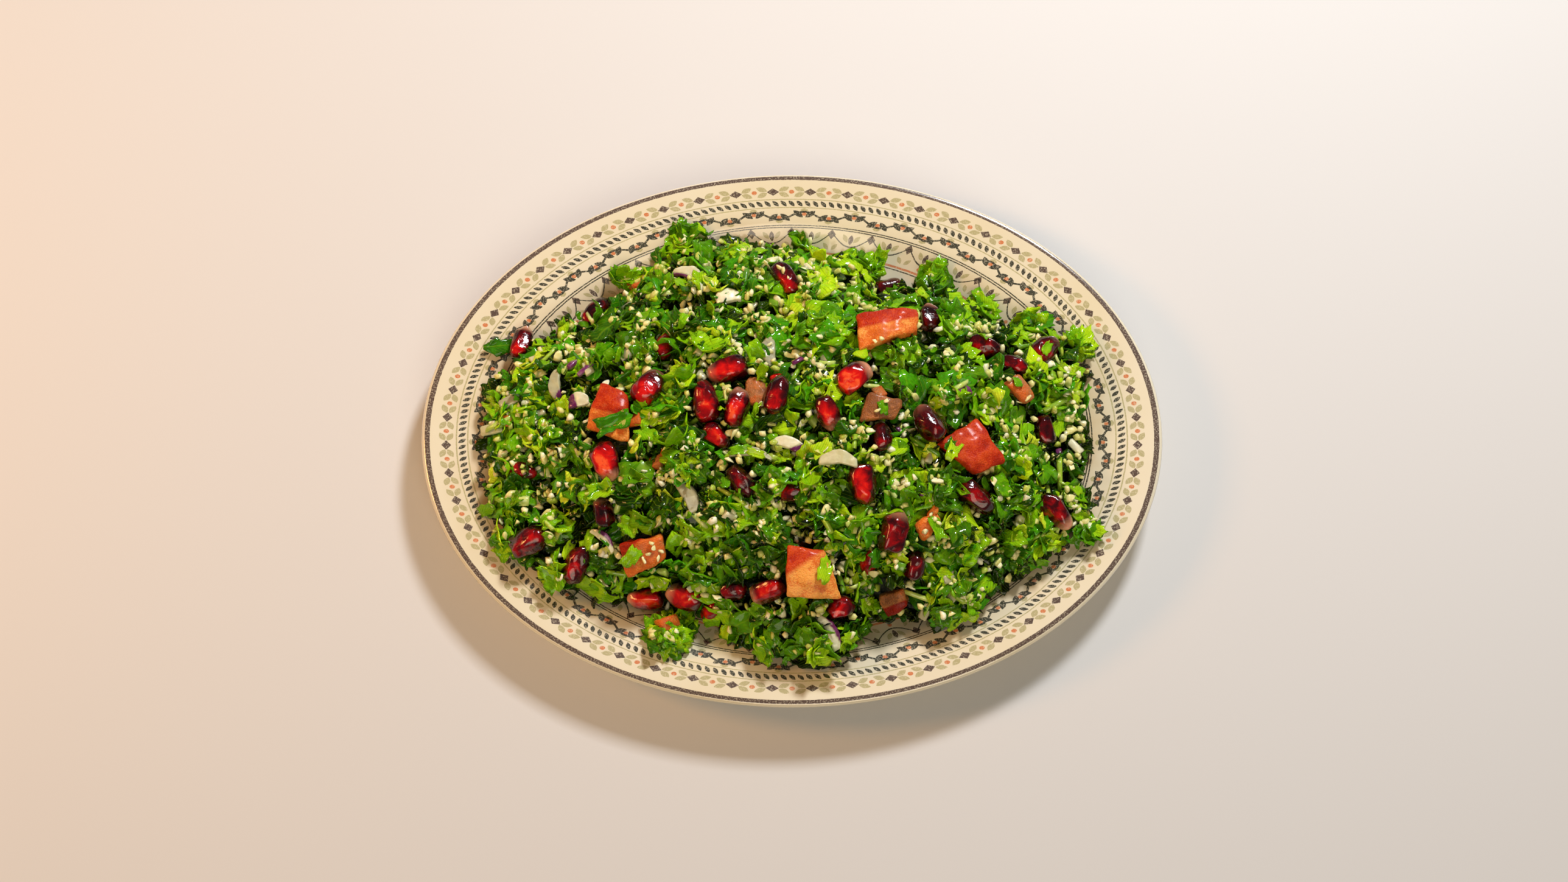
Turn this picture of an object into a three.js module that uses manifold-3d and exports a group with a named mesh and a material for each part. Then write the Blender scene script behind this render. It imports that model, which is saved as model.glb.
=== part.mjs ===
// A chopped parsley and bulgur salad heaped on a small oval porcelain platter, with pomegranate
// seeds, tomato pieces and red onion slices lying in and on it.
// Millimetres, +Z up. The origin is under the middle of the platter, on the plane it stands on.
// +X runs along the platter's long side and -Y is the side nearest the eater.
import * as THREE from "three";
import { mergeVertices } from "three/addons/utils/BufferGeometryUtils.js";
import Module from "manifold-3d";

const wasm = await Module();
wasm.setup();

// Platter
const platterLength = 230;
const platterWidth = 172;
const ovalRatio = platterWidth / platterLength;
const platterSides = 48;
const footHeight = 2;
const footInner = 61;
const footOuter = 65.5;
const floorTop = 5.5;
const rimInner = 97;
const rimInnerTop = 12;
const edgeTop = 15.6;
const wallThickness = 3.4;
const edgeThickness = 2.6;

// Salad
const heapReach = 97;
const heapRatio = 0.74;
const heapMiddleY = -2.9;
const heapCrown = 26;
const heapEdge = 4.5;
const heapDetail = 8;
const clumpSpacing = 13;
const clumpHeight = 3.4;
const gap = 0.35;
const leafCount = 54;
const leafThickness = 0.7;
const leafSpacing = 11;
const stemCount = 10;
const grainCount = 22;
const grainSize = 2.6;
const seedFlatness = 0.86;
const onionThickness = 1.6;

const glaze = { color: 0xeadfc4, roughness: 0.18, metalness: 0 };
const herb = { color: 0x2f7d12, roughness: 0.4, metalness: 0 };
const seedRed = { color: 0x9c0a14, roughness: 0.12, metalness: 0 };
const tomatoRed = { color: 0xd0431a, roughness: 0.25, metalness: 0 };
const onionWhite = { color: 0xd9d0c0, roughness: 0.3, metalness: 0 };

// A repeatable random number from 0 to 1.
function seededRandom(seed) {
  let state = seed;
  return () => {
    state = (state + 0x6d2b79f5) | 0;
    let t = Math.imul(state ^ (state >>> 15), 1 | state);
    t = (t + Math.imul(t ^ (t >>> 7), 61 | t)) ^ t;
    return ((t ^ (t >>> 14)) >>> 0) / 4294967296;
  };
}
const random = seededRandom(3);
const between = (low, high) => low + (high - low) * random();

// Solids and geometries
function solidFrom(geometry, matrix = new THREE.Matrix4()) {
  const bare = geometry.index ? geometry.toNonIndexed() : geometry.clone();
  bare.deleteAttribute("normal");
  bare.deleteAttribute("uv");
  const merged = mergeVertices(bare.applyMatrix4(matrix), 1e-4);
  return new wasm.Manifold(
    new wasm.Mesh({
      numProp: 3,
      vertProperties: merged.attributes.position.array,
      triVerts: new Uint32Array(merged.index.array),
    }),
  );
}

function geometryFrom(solid) {
  const mesh = solid.getMesh();
  const geometry = new THREE.BufferGeometry();
  geometry.setAttribute("position", new THREE.BufferAttribute(mesh.vertProperties, 3));
  geometry.setIndex(new THREE.BufferAttribute(mesh.triVerts, 1));
  return geometry;
}

// Moves every vertex of a geometry by a function of its place.
function reshape(geometry, move) {
  const position = geometry.attributes.position;
  const point = new THREE.Vector3();
  for (let i = 0; i < position.count; i += 1) {
    point.fromBufferAttribute(position, i);
    move(point);
    position.setXYZ(i, point.x, point.y, point.z);
  }
  return geometry;
}

// A turned shape stretched to the platter's oval, from [radius along X, height] pairs.
function ovalTurned(profile, sides) {
  const points = profile.map(([radius, height]) => new THREE.Vector2(radius, height));
  return new THREE.LatheGeometry(points, sides).rotateX(Math.PI / 2).scale(1, ovalRatio, 1);
}

// The platter's upper side, from its middle to its edge.
const upperProfile = [
  [0, floorTop],
  [74, floorTop],
  [80, floorTop + 0.5],
  [86, floorTop + 2.3],
  [92, floorTop + 4.9],
  [rimInner, rimInnerTop],
  [112, edgeTop - 0.3],
  [113.6, edgeTop],
];

function platterSolid() {
  const edge = platterLength / 2;
  const underside = [
    [edge - 0.4, edgeTop - 0.5],
    [edge, edgeTop - edgeThickness / 2],
    [edge - 0.6, edgeTop - edgeThickness],
    [rimInner, rimInnerTop - wallThickness],
    [86, floorTop + 2.1 - wallThickness],
    [68, footHeight],
    [footOuter, 0],
    [footInner, 0],
    [footInner - 1.5, footHeight],
    [0, footHeight],
  ];
  return ovalTurned([...upperProfile, ...underside].reverse(), platterSides);
}

// Everything that the platter and the air under it take up, a gap above its upper side.
function platterRoom() {
  const raised = upperProfile.map(([radius, height]) => [radius, height + gap]);
  const below = [[platterLength, edgeTop], [platterLength, -10], [0, -10]];
  return solidFrom(ovalTurned([...raised, ...below].reverse(), platterSides));
}

function platterTop(x, y) {
  const radius = Math.hypot(x, y / ovalRatio);
  const next = upperProfile.findIndex(([r]) => r >= radius);
  if (next === 0) return floorTop;
  if (next < 0) return edgeTop;
  const [r0, z0] = upperProfile[next - 1];
  const [r1, z1] = upperProfile[next];
  return z0 + ((z1 - z0) * (radius - r0)) / (r1 - r0);
}

// Where the heap ends: the angle round its oval in degrees, and the share of heapReach there. The
// heap lies a little nearer the eater than the platter's middle does.
const heapOutline = [
  [0, 0.96], [22, 1.02], [40, 0.88], [57, 0.88], [65, 0.79], [78, 0.87], [92, 0.93],
  [108, 0.99], [130, 0.9], [146, 0.94], [162, 1.02], [180, 1], [196, 1.02], [212, 1.02],
  [228, 0.93], [245, 0.83], [256, 0.85], [272, 1], [281, 0.95], [289, 0.81], [299, 0.95],
  [314, 0.93], [337, 1], [352, 0.97],
];

// The outline as a smooth closed curve, read back as a share for each whole degree.
function outlineShares() {
  const turn = ([degrees, share]) => {
    const angle = THREE.MathUtils.degToRad(degrees);
    return new THREE.Vector3(share * Math.cos(angle), share * Math.sin(angle), 0);
  };
  const curve = new THREE.CatmullRomCurve3(heapOutline.map(turn), true);
  const shares = new Array(360).fill(0);
  for (const point of curve.getPoints(2400)) {
    const degrees = THREE.MathUtils.radToDeg(Math.atan2(point.y, point.x));
    shares[(Math.round(degrees) + 360) % 360] = point.length();
  }
  return shares;
}
const outlineShare = outlineShares();

function reachAt(angle) {
  const degrees = (THREE.MathUtils.radToDeg(angle) + 360) % 360;
  const low = Math.floor(degrees);
  const rest = degrees - low;
  const share = outlineShare[low % 360] * (1 - rest) + outlineShare[(low + 1) % 360] * rest;
  return share * heapReach;
}

// Clumps of salad that stand up from the heap, one to each cell of a loose grid.
const clumps = [];
for (let x = -heapReach; x <= heapReach; x += clumpSpacing)
  for (let y = -heapReach * heapRatio; y <= heapReach * heapRatio; y += clumpSpacing)
    clumps.push({
      x: x + between(-4, 4),
      y: heapMiddleY + y + between(-4, 4),
      radius: between(6.5, 9.5),
      height: between(0.3, 1) * clumpHeight,
    });

function clumpRelief(x, y) {
  const rise = (c) => c.height * (1 - Math.min(1, Math.hypot(x - c.x, y - c.y) / c.radius) ** 2);
  return Math.max(...clumps.map(rise));
}

function shareFromMiddle(x, y) {
  const back = (y - heapMiddleY) / heapRatio;
  return Math.hypot(x, back) / reachAt(Math.atan2(back, x));
}

function heapTop(x, y) {
  const share = Math.min(1, shareFromMiddle(x, y));
  const dome = heapCrown * (1 - share ** 2.2) ** 0.75;
  const edge = heapEdge * (1 - share ** 8);
  return platterTop(x, y) + dome + edge + clumpRelief(x, y) * (1 - share ** 6) + 0.8;
}

function heapNormal(x, y) {
  const step = 4;
  const slopeX = (heapTop(x + step, y) - heapTop(x - step, y)) / (2 * step);
  const slopeY = (heapTop(x, y + step) - heapTop(x, y - step)) / (2 * step);
  return new THREE.Vector3(-slopeX, -slopeY, 1).normalize();
}

// The bare heap: a ball of even triangles whose upper half is laid over the heap's top and whose
// lower half is pressed flat under the platter's floor.
function heapCore() {
  const ball = new THREE.IcosahedronGeometry(1, heapDetail);
  return reshapedBall(ball, (polar, angle, point) => {
    const share = polar < 1 ? polar : 2 - polar;
    const reach = share ** 0.85 * reachAt(angle);
    const x = reach * Math.cos(angle);
    const y = heapMiddleY + reach * Math.sin(angle) * heapRatio;
    point.set(x, y, polar < 1 ? heapTop(x, y) : -footHeight);
  });
}

// Moves every vertex of a unit ball by how far down it is (0 at the top, 2 at the bottom) and its
// angle round the ball.
function reshapedBall(ball, move) {
  reshape(ball, (point) => {
    const polar = Math.acos(THREE.MathUtils.clamp(point.z, -1, 1)) / (Math.PI / 2);
    move(polar, Math.atan2(point.y, point.x), point);
  });
  return solidFrom(ball);
}

// Toppings
// A pomegranate seed: a plump faceted drop with its narrow tip at +X.
function seedGeometry(length, width, height) {
  const profile = [[0, -0.5], [0.4, -0.38], [0.52, -0.04], [0.36, 0.3], [0, 0.5]];
  const points = profile.map(([r, t]) => new THREE.Vector2(r * width, t * length));
  return new THREE.LatheGeometry(points, 6).rotateZ(-Math.PI / 2).scale(1, 1, height / width);
}

// A wedge of diced tomato: a block with a bulging skin side on top and cut sides that lean in.
function tomatoGeometry(length, width, height) {
  const block = new THREE.BoxGeometry(length, width, height, 3, 2, 1);
  return reshape(block, (point) => {
    const u = (2 * point.x) / length;
    const v = (2 * point.y) / width;
    const lean = point.z < 0 ? 0.78 : 1;
    point.x = lean * (point.x + 0.12 * width * v);
    point.y = lean * point.y * (1 - 0.22 * u);
    point.z += 0.09 * length * (1 - u * u) - 0.05 * width * v * v;
  });
}

// A slice of red onion: a strip bent to the curve of the bulb.
function onionGeometry(length, width, thickness) {
  const strip = new THREE.BoxGeometry(length, width, thickness, 6, 1, 1);
  return reshape(strip, (point) => {
    const u = (2 * point.x) / length;
    point.y = point.y * (1 - 0.45 * u * u) + 0.14 * length * (1 - u * u);
    point.z -= 0.08 * length * u * u;
  });
}

// Each seed: across and back from the heap's middle, turn in degrees from +X, length, width, how
// far it stands out.
const seeds = [
  [-43, 10, 55, 12, 8.6, 1.6], [-55.5, -12.5, -72, 11.8, 8, 1.8], [-19.5, 15, 192, 12.8, 7.5, 1.8],
  [-26, 5, 102, 12.4, 8.2, 1.6], [-16.5, 2.5, 76, 11.8, 7.2, 2.4], [-4.5, 6.5, 72, 12.4, 7.2, 2.6],
  [-22.5, -5.5, -35, 9, 6.6, 0.4], [10.5, 1.5, -70, 10.8, 7, 1.4], [18.5, 12.5, 32, 11.8, 8, 2],
  [21, -20.5, -78, 12, 8.2, 1.8], [41, -1.5, 122, 12, 8, 2], [55, -22.5, -42, 12.6, 7, 1],
  [80, -25, -48, 12.5, 7, 1.4], [59.5, 27, -15, 10, 6.4, 0.8], [78.5, 27, 47, 11.2, 7.4, 1.6],
  [68.5, 20.5, -15, 8.6, 6, 0.6], [77.5, 1, 100, 9.4, 6.6, 0.8], [42.5, 36, 85, 9, 6.4, 0.8],
  [26.5, -5.5, 88, 9, 6.4, 0.4], [30, -33.5, 75, 13, 8.6, 2], [14.5, -54.5, 20, 9, 6.6, 0.6],
  [-7.5, -50, 205, 11.2, 7.2, 1.4], [-17.5, -49, 10, 8, 6, 0.4], [-44.5, -50, 178, 11, 6.8, 1.4],
  [-32.5, -50, 160, 11.4, 7.2, 1.4], [-61.5, 41.5, 68, 12, 7, 1.6], [-85, 32, 80, 11.4, 6.4, 1.6],
  [-2, 48, -60, 12, 7, 1], [-79.5, -34, 25, 12.4, 8, 1.4], [-65, -41, 66, 12, 7.4, 1.4],
  [-56.5, -26.5, 112, 9, 6.4, 0.6], [-15, -19.5, -48, 11, 6.6, 0.6], [36.5, -42.5, 80, 8.6, 6.4, 0.6],
  [31.5, 52, 25, 10, 7, 1.4],
];

// Seeds that lie deep in the heap, so that only a little of each shows, listed in the same way.
const sunkenSeeds = [
  [-82, -12.5, -10, 10, 6.4, -0.6], [0, -22, 10, 10, 6.4, -0.6], [-39, 25, 80, 10, 6.4, -0.6],
  [23, -41, 70, 9, 6.4, -0.4], [-24.5, -53.5, 60, 9, 6, 0],
];

// Each tomato piece: across, back, turn, length, width, height, how far it stands out.
const tomatoes = [
  [-54, 2.5, 82, 15.5, 12, 7, 1], [29, 29, 14, 19.5, 10.5, 9, 0.8], [54, -8.5, -45, 16, 13, 6, 1.6],
  [5, -46, 100, 15.5, 14, 9, 1.2], [-44, -38.5, 24, 14, 9.5, 7, 0.6], [-11, 8, 80, 9, 7, 5, -1.6],
  [26.5, 3, -4, 11, 8, 5, 0.8], [69, 11.5, -48, 9.5, 5.5, 4.5, 1.2], [40.5, -31, 40, 9, 5, 4.5, 1],
  [31, -51.5, 35, 8.6, 7, 5, 1],
];

// Each onion slice: across, back, turn, length, width, how far it stands out.
const onions = [
  [-0.5, -9.5, -25, 11.5, 3.6, 1.2], [-12.5, -12, -4, 13, 3, 1.4], [13.5, -15, -5, 11, 4.4, 1.4],
  [-6, 21.5, 94, 10, 4.2, 1], [-65, 7.5, 8, 7, 5, 1], [-71.5, 14, 98, 10.5, 3.8, 1],
  [-31.5, -24, -64, 10, 4.2, 1], [-57, -35, -47, 9.5, 3, 1.2], [10.5, -62.5, -58, 11.5, 3.6, 1.4],
  [-33, 50, -32, 12, 4, 1.6], [-19.5, 40.5, 12, 8, 4.6, 1.2],
];

// The matrix that lays a piece on the heap, its +Z along the heap's normal.
function lieOnHeap(x, y, degrees, lift) {
  const up = heapNormal(x, y).lerp(new THREE.Vector3(0, 0, 1), 0.35).normalize();
  const turn = THREE.MathUtils.degToRad(degrees);
  const along = new THREE.Vector3(Math.cos(turn), Math.sin(turn), 0);
  const side = new THREE.Vector3().crossVectors(up, along).normalize();
  along.crossVectors(side, up);
  const matrix = new THREE.Matrix4().makeBasis(along, side, up);
  return matrix.setPosition(x, y, heapTop(x, y) + lift);
}

const toppings = [];
const toppingRooms = [];
const bed = platterRoom();

// Adds a topping in its place, lifted in small steps until it is clear of the platter and of the
// toppings that lie there already. The room is the same shape with the gap added all round.
function addTopping(name, look, makeGeometry, sizes, place) {
  const geometry = makeGeometry(...sizes);
  const grown = makeGeometry(...sizes.map((size) => size + 2 * gap));
  const liftStep = 0.5;
  const [x, y, degrees, lift] = place;
  const blocks = (other, solid) => other.intersect(solid).volume() > 1e-6;
  for (let step = 0; step < 24; step += 1) {
    const matrix = lieOnHeap(x, y, degrees, lift + step * liftStep);
    const body = solidFrom(geometry, matrix);
    if (blocks(bed, body) || toppingRooms.some((other) => blocks(other, body))) continue;
    toppings.push({ name, look, geometry, matrix });
    toppingRooms.push(solidFrom(grown, matrix));
    return;
  }
  throw new Error(name + " finds no free place");
}

const numbered = (name, index) => name + "_" + String(index + 1).padStart(2, "0");

tomatoes.forEach(([x, y, degrees, length, width, height, lift], index) => {
  const sizes = [length, width, height];
  const place = [x, heapMiddleY + y, degrees, lift];
  addTopping(numbered("tomato", index), tomatoRed, tomatoGeometry, sizes, place);
});
seeds.forEach(([x, y, degrees, length, width, lift], index) => {
  const sizes = [length, width, seedFlatness * width];
  const place = [x, heapMiddleY + y, degrees, lift];
  addTopping(numbered("seed", index), seedRed, seedGeometry, sizes, place);
});
onions.forEach(([x, y, degrees, length, width, lift], index) => {
  const sizes = [length, width, onionThickness];
  const place = [x, heapMiddleY + y, degrees, lift];
  addTopping(numbered("onion", index), onionWhite, onionGeometry, sizes, place);
});

const toppingRoom = wasm.Manifold.union(toppingRooms);

// Leaves, stems and grains
// A chopped leaf: a toothed outline drawn out to a thin sheet, then bent into waves.
function leafGeometry(length, width) {
  const teeth = 4;
  const shape = new THREE.Shape();
  for (let i = 0; i < 2 * teeth; i += 1) {
    const angle = (i * Math.PI) / teeth;
    const reach = (i % 2 ? between(0.55, 0.75) : between(0.85, 1.1)) / 2;
    const x = reach * length * Math.cos(angle);
    const y = reach * width * Math.sin(angle);
    if (i === 0) shape.moveTo(x, y);
    else shape.lineTo(x, y);
  }
  shape.closePath();
  const options = { depth: leafThickness, bevelEnabled: false, steps: 1 };
  const wave = between(0.9, 1.8);
  const phase = between(0, 6);
  return reshape(new THREE.ExtrudeGeometry(shape, options), (point) => {
    point.z += wave * Math.sin((5 * point.x) / length + phase) + (0.12 * point.y ** 2) / width;
  });
}

function stemGeometry() {
  return new THREE.CylinderGeometry(0.9, 0.9, between(8, 12), 5).rotateZ(Math.PI / 2);
}

function grainGeometry() {
  const size = grainSize / 2;
  const stretch = [between(0.8, 1.3), between(0.8, 1.2), between(0.8, 1.1)];
  return new THREE.IcosahedronGeometry(size, 0).scale(...stretch);
}

// A place on the heap that no piece of the same kind is near.
function freePlace(taken, spacing, outermost) {
  for (let attempt = 0; attempt < 400; attempt += 1) {
    const x = between(-heapReach, heapReach);
    const y = heapMiddleY + between(-heapReach, heapReach) * heapRatio;
    if (shareFromMiddle(x, y) > outermost) continue;
    if (taken.some(([a, b]) => Math.hypot(a - x, b - y) < spacing)) continue;
    return [x, y];
  }
  return null;
}

// Lays pieces on the core, each turned and tipped at random, skipping those that would cross the
// platter or a topping.
function scatter(count, spacing, outermost, makeGeometry, tip, lift) {
  const taken = [];
  const laid = [];
  for (let attempt = 0; attempt < 12 * count && laid.length < count; attempt += 1) {
    const place = freePlace(taken, spacing, outermost);
    if (!place) break;
    const [x, y] = place;
    const matrix = lieOnHeap(x, y, between(0, 360), lift);
    const tilt = new THREE.Matrix4().makeRotationFromEuler(
      new THREE.Euler(between(-tip, tip), between(-tip, tip), 0),
    );
    const piece = solidFrom(makeGeometry(), matrix.multiply(tilt));
    if (piece.intersect(toppingRoom).volume() > 0) continue;
    if (piece.intersect(bed).volume() > 0) continue;
    laid.push(piece);
    taken.push(place);
  }
  return laid;
}

// The outermost closed surface of a solid: this fills sealed hollows and drops loose scraps.
function largestBody(solid) {
  return solid.decompose().reduce((a, b) => (b.volume() > a.volume() ? b : a));
}

const largeLeaf = () => leafGeometry(between(12, 16), between(8, 11));
const smallLeaf = () => leafGeometry(between(8, 11), between(5, 7));
const core = largestBody(heapCore().subtract(bed).subtract(toppingRoom));
const sunken = sunkenSeeds.map(([x, y, degrees, length, width, lift]) => {
  const seed = seedGeometry(length, width, seedFlatness * width);
  return solidFrom(seed, lieOnHeap(x, heapMiddleY + y, degrees, lift)).subtract(toppingRoom);
});
const fusedPieces = [
  ...sunken,
  ...scatter(leafCount / 2, leafSpacing, 0.98, largeLeaf, 0.8, 0.8),
  ...scatter(leafCount / 2, leafSpacing, 0.97, smallLeaf, 1, 1),
  ...scatter(stemCount, leafSpacing, 0.94, stemGeometry, 0.35, 0.5),
  ...scatter(grainCount, 6, 0.95, grainGeometry, 1, 0.6),
];
const heap = largestBody(wasm.Manifold.union([core, ...fusedPieces]));

// The clump that fell apart from the heap: a low mound with a few leaves on it.
const clumpPlace = { x: -37, y: -63.5, radius: 7.5, height: 6.5 };

function looseClump() {
  const { x, y, radius, height } = clumpPlace;
  const mound = new THREE.SphereGeometry(1, 14, 8).rotateX(Math.PI / 2);
  reshape(mound, (point) => {
    const uneven = 1 + 0.12 * Math.sin(3 * Math.atan2(point.y, point.x));
    point.x = x + radius * uneven * point.x;
    point.y = y + radius * 0.85 * uneven * point.y;
    point.z = platterTop(point.x, point.y) + (point.z < 0 ? 2 : height) * point.z;
  });
  const pieces = [];
  for (let i = 0; i < 6; i += 1) {
    const angle = (i * Math.PI) / 3;
    const px = x + 0.55 * radius * Math.cos(angle);
    const py = y + 0.5 * radius * Math.sin(angle);
    const matrix = new THREE.Matrix4().makeRotationFromEuler(
      new THREE.Euler(between(-0.6, 0.6), between(-0.6, 0.6), angle),
    );
    matrix.setPosition(px, py, platterTop(px, py) + 0.8 * height);
    const piece = solidFrom(i % 2 ? smallLeaf() : grainGeometry(), matrix);
    if (piece.intersect(bed).volume() === 0 && piece.intersect(toppingRoom).volume() === 0)
      pieces.push(piece);
  }
  const heapRoom = heap.translate([gap, gap, 0]).add(heap.translate([-gap, -gap, 0]));
  const joined = wasm.Manifold.union([solidFrom(mound).subtract(bed), ...pieces]);
  return largestBody(joined.subtract(toppingRoom).subtract(heapRoom).subtract(heap));
}

// The scene graph
const salad = new THREE.Group();

function addMesh(name, look, geometry, matrix) {
  const mesh = new THREE.Mesh(geometry, new THREE.MeshStandardMaterial(look));
  mesh.name = name;
  if (matrix) matrix.decompose(mesh.position, mesh.quaternion, mesh.scale);
  geometry.computeVertexNormals();
  salad.add(mesh);
}

addMesh("platter", glaze, platterSolid());
addMesh("salad_heap", herb, geometryFrom(heap));
addMesh("salad_clump", herb, geometryFrom(looseClump()));
toppings.forEach(({ name, look, geometry, matrix }) => addMesh(name, look, geometry, matrix));

export default salad;
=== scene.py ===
# Tabbouleh salad on an oval porcelain platter.
# Lengths are worked out in millimetres and turned to metres where a mesh is made.
import math
import random

import bmesh
import bpy
import numpy as np
from mathutils import Euler, Matrix, Vector, noise
from mathutils.bvhtree import BVHTree


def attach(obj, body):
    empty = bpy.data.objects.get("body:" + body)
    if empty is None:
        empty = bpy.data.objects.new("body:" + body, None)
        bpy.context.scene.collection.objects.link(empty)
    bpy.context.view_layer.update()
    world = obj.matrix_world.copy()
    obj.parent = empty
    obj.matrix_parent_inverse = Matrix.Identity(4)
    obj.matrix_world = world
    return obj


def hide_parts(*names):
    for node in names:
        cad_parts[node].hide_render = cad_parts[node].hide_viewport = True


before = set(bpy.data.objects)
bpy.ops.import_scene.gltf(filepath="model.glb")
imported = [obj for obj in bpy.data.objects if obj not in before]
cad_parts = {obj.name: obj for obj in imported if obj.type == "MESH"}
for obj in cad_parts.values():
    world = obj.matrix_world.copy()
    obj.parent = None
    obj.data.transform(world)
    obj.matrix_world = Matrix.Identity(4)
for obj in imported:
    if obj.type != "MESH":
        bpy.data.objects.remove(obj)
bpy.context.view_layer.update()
mm = 0.001
scene = bpy.context.scene
print("stage: frame loaded")

# camera, light and floor come first
cameraSet = {
    "aim": (-2.45, -3.6, 15.6),   # mm, the point in the middle of the picture
    "distance": 600,              # mm
    "fromVertical": 16,           # degrees, leaning towards the eater
    "lens": 44.5,
}

lightSet = {
    "window": {"place": (240, 520, 600), "size": 130, "power": 6.5, "colour": "#F7F9FF"},
    "lamp": {"place": (-560, 60, 420), "size": 160, "power": 1.9, "colour": "#FFB868"},
    "sky": {"place": (140, -620, 700), "angle": 40, "power": 1.25, "colour": "#FFF0D8"},
    "world": 0.12,
}


def linear(hexColour, alpha=1.0):
    # sRGB hex to the linear values that Blender's sockets take
    parts = [int(hexColour[i:i + 2], 16) / 255 for i in (1, 3, 5)]
    return tuple(c / 12.92 if c <= 0.04045 else ((c + 0.055) / 1.055) ** 2.4 for c in parts) + (alpha,)


def lookAt(place, target):
    direction = Vector(target) - Vector(place)
    return direction.to_track_quat("-Z", "Y").to_euler()


def addCamera():
    tilt = math.radians(cameraSet["fromVertical"])
    aim = Vector(cameraSet["aim"]) * mm
    back = Vector((0, -math.sin(tilt), math.cos(tilt))) * cameraSet["distance"] * mm
    data = bpy.data.cameras.new("photoCamera")
    data.lens = cameraSet["lens"]
    data.sensor_width = 36
    data.clip_start = 0.01
    camera = bpy.data.objects.new("photoCamera", data)
    camera.location = aim + back
    camera.rotation_euler = (tilt, 0, 0)
    scene.collection.objects.link(camera)
    scene.camera = camera


def addLights():
    for name in ("window", "lamp", "sky"):
        spec = lightSet[name]
        data = bpy.data.lights.new(name, "AREA" if "size" in spec else "SUN")
        data.energy = spec["power"]
        if "size" in spec:
            data.size = spec["size"] * mm
        else:
            data.angle = math.radians(spec["angle"])
        data.color = linear(spec["colour"])[:3]
        lamp = bpy.data.objects.new(name, data)
        lamp.location = Vector(spec["place"]) * mm
        lamp.rotation_euler = lookAt(lamp.location, (0, 0, 0.02))
        scene.collection.objects.link(lamp)
    world = bpy.data.worlds.new("studio")
    world.use_nodes = True
    background = world.node_tree.nodes["Background"]
    background.inputs["Color"].default_value = linear("#F4F4F2")
    background.inputs["Strength"].default_value = lightSet["world"]
    scene.world = world
    scene.view_settings.view_transform = "Standard"


def newMesh(name, bm):
    data = bpy.data.meshes.new(name)
    bm.to_mesh(data)
    bm.free()
    return data


def newPiece(name, data, material, nodeName, smooth=True):
    # links a finished mesh, in metres, to the scene and to the frame
    piece = bpy.data.objects.new(name, data)
    scene.collection.objects.link(piece)
    data.materials.append(material)
    if smooth:
        data.shade_smooth()
    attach(piece, "root")
    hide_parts(nodeName)


def readPoints(data):
    points = np.empty(len(data.vertices) * 3, np.float32)
    data.vertices.foreach_get("co", points)
    return points.reshape(-1, 3).astype(float)


def writeValues(data, name, values):
    # one number for each corner, which a material reads by its name
    data.attributes.new(name, "FLOAT", "POINT").data.foreach_set("value", np.asarray(values, np.float32))


def setInput(tree, socket, value):
    # a value that is another node's output is linked
    if isinstance(value, bpy.types.NodeSocket):
        tree.links.new(value, socket)
    else:
        socket.default_value = value


def addNode(tree, kind, inputs=(), out=0, stops=None, **settings):
    # one node with its settings and links; inputs are in order or by name, and what comes back is one output
    node = tree.nodes.new("ShaderNode" + kind)
    for key, value in settings.items():
        setattr(node, key, value)
    for key, value in inputs.items() if isinstance(inputs, dict) else enumerate(inputs):
        setInput(tree, node.inputs[key], value)
    if stops:
        elements = node.color_ramp.elements
        while len(elements) < len(stops):
            elements.new(0.5)
        for element, (place, colour) in zip(elements, stops.items()):
            element.position = place
            element.color = linear(colour)
    return node.outputs[out]


def newMaterial(name):
    material = bpy.data.materials.new(name)
    material.use_nodes = True
    return material, material.node_tree


def setShader(tree, **values):
    # Base_Color stands for the socket Base Color, and so on
    for key, value in values.items():
        setInput(tree, tree.nodes["Principled BSDF"].inputs[key.replace("_", " ")], value)


def noiseScale(size):
    # what gives a noise on Object coordinates spots this many mm across
    return 1 / (size * mm)


def floorMaterial():
    # matt pale card: no gloss, so nothing competes with the wet salad
    material, tree = newMaterial("paleCard")
    setShader(tree, Base_Color=linear("#D2D0CC"), Roughness=0.9)
    return material


def addFloor():
    bm = bmesh.new()
    bmesh.ops.create_grid(bm, x_segments=1, y_segments=1, size=3)
    floor = bpy.data.objects.new("floor", newMesh("floor", bm))
    floor.data.materials.append(floorMaterial())
    scene.collection.objects.link(floor)


addCamera()
addLights()
addFloor()
print("stage: camera, lights and floor made")

# the shape of the platter and of the heap, in the same figures as the solids have
platterSet = {
    "halfLength": 115.0,   # mm
    "ratio": 172 / 230,    # of its width to its length
    "steps": 192,          # round the rim
    "wellFloor": 5.2,      # mm; all that is higher is the upper side or the rim
    # radius along X and height, mm: upper side from the middle out, then the underside back
    "upper": [(0, 5.5), (40, 5.5), (68, 5.5), (74, 5.5), (80, 6.0), (86, 7.8), (92, 10.4), (97, 12.0),
              (104.5, 13.65), (112, 15.3), (113.6, 15.6)],
    "under": [(114.6, 15.1), (115, 14.3), (114.4, 13.0), (106, 11.1), (97, 8.6), (91.5, 6.6), (86, 4.4),
              (77, 3.0), (68, 2.0), (66.4, 0.9), (65.5, 0.0), (61, 0.0), (59.9, 1.0), (59.5, 2.0),
              (30, 2.0), (0, 2.0)],
}

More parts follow.
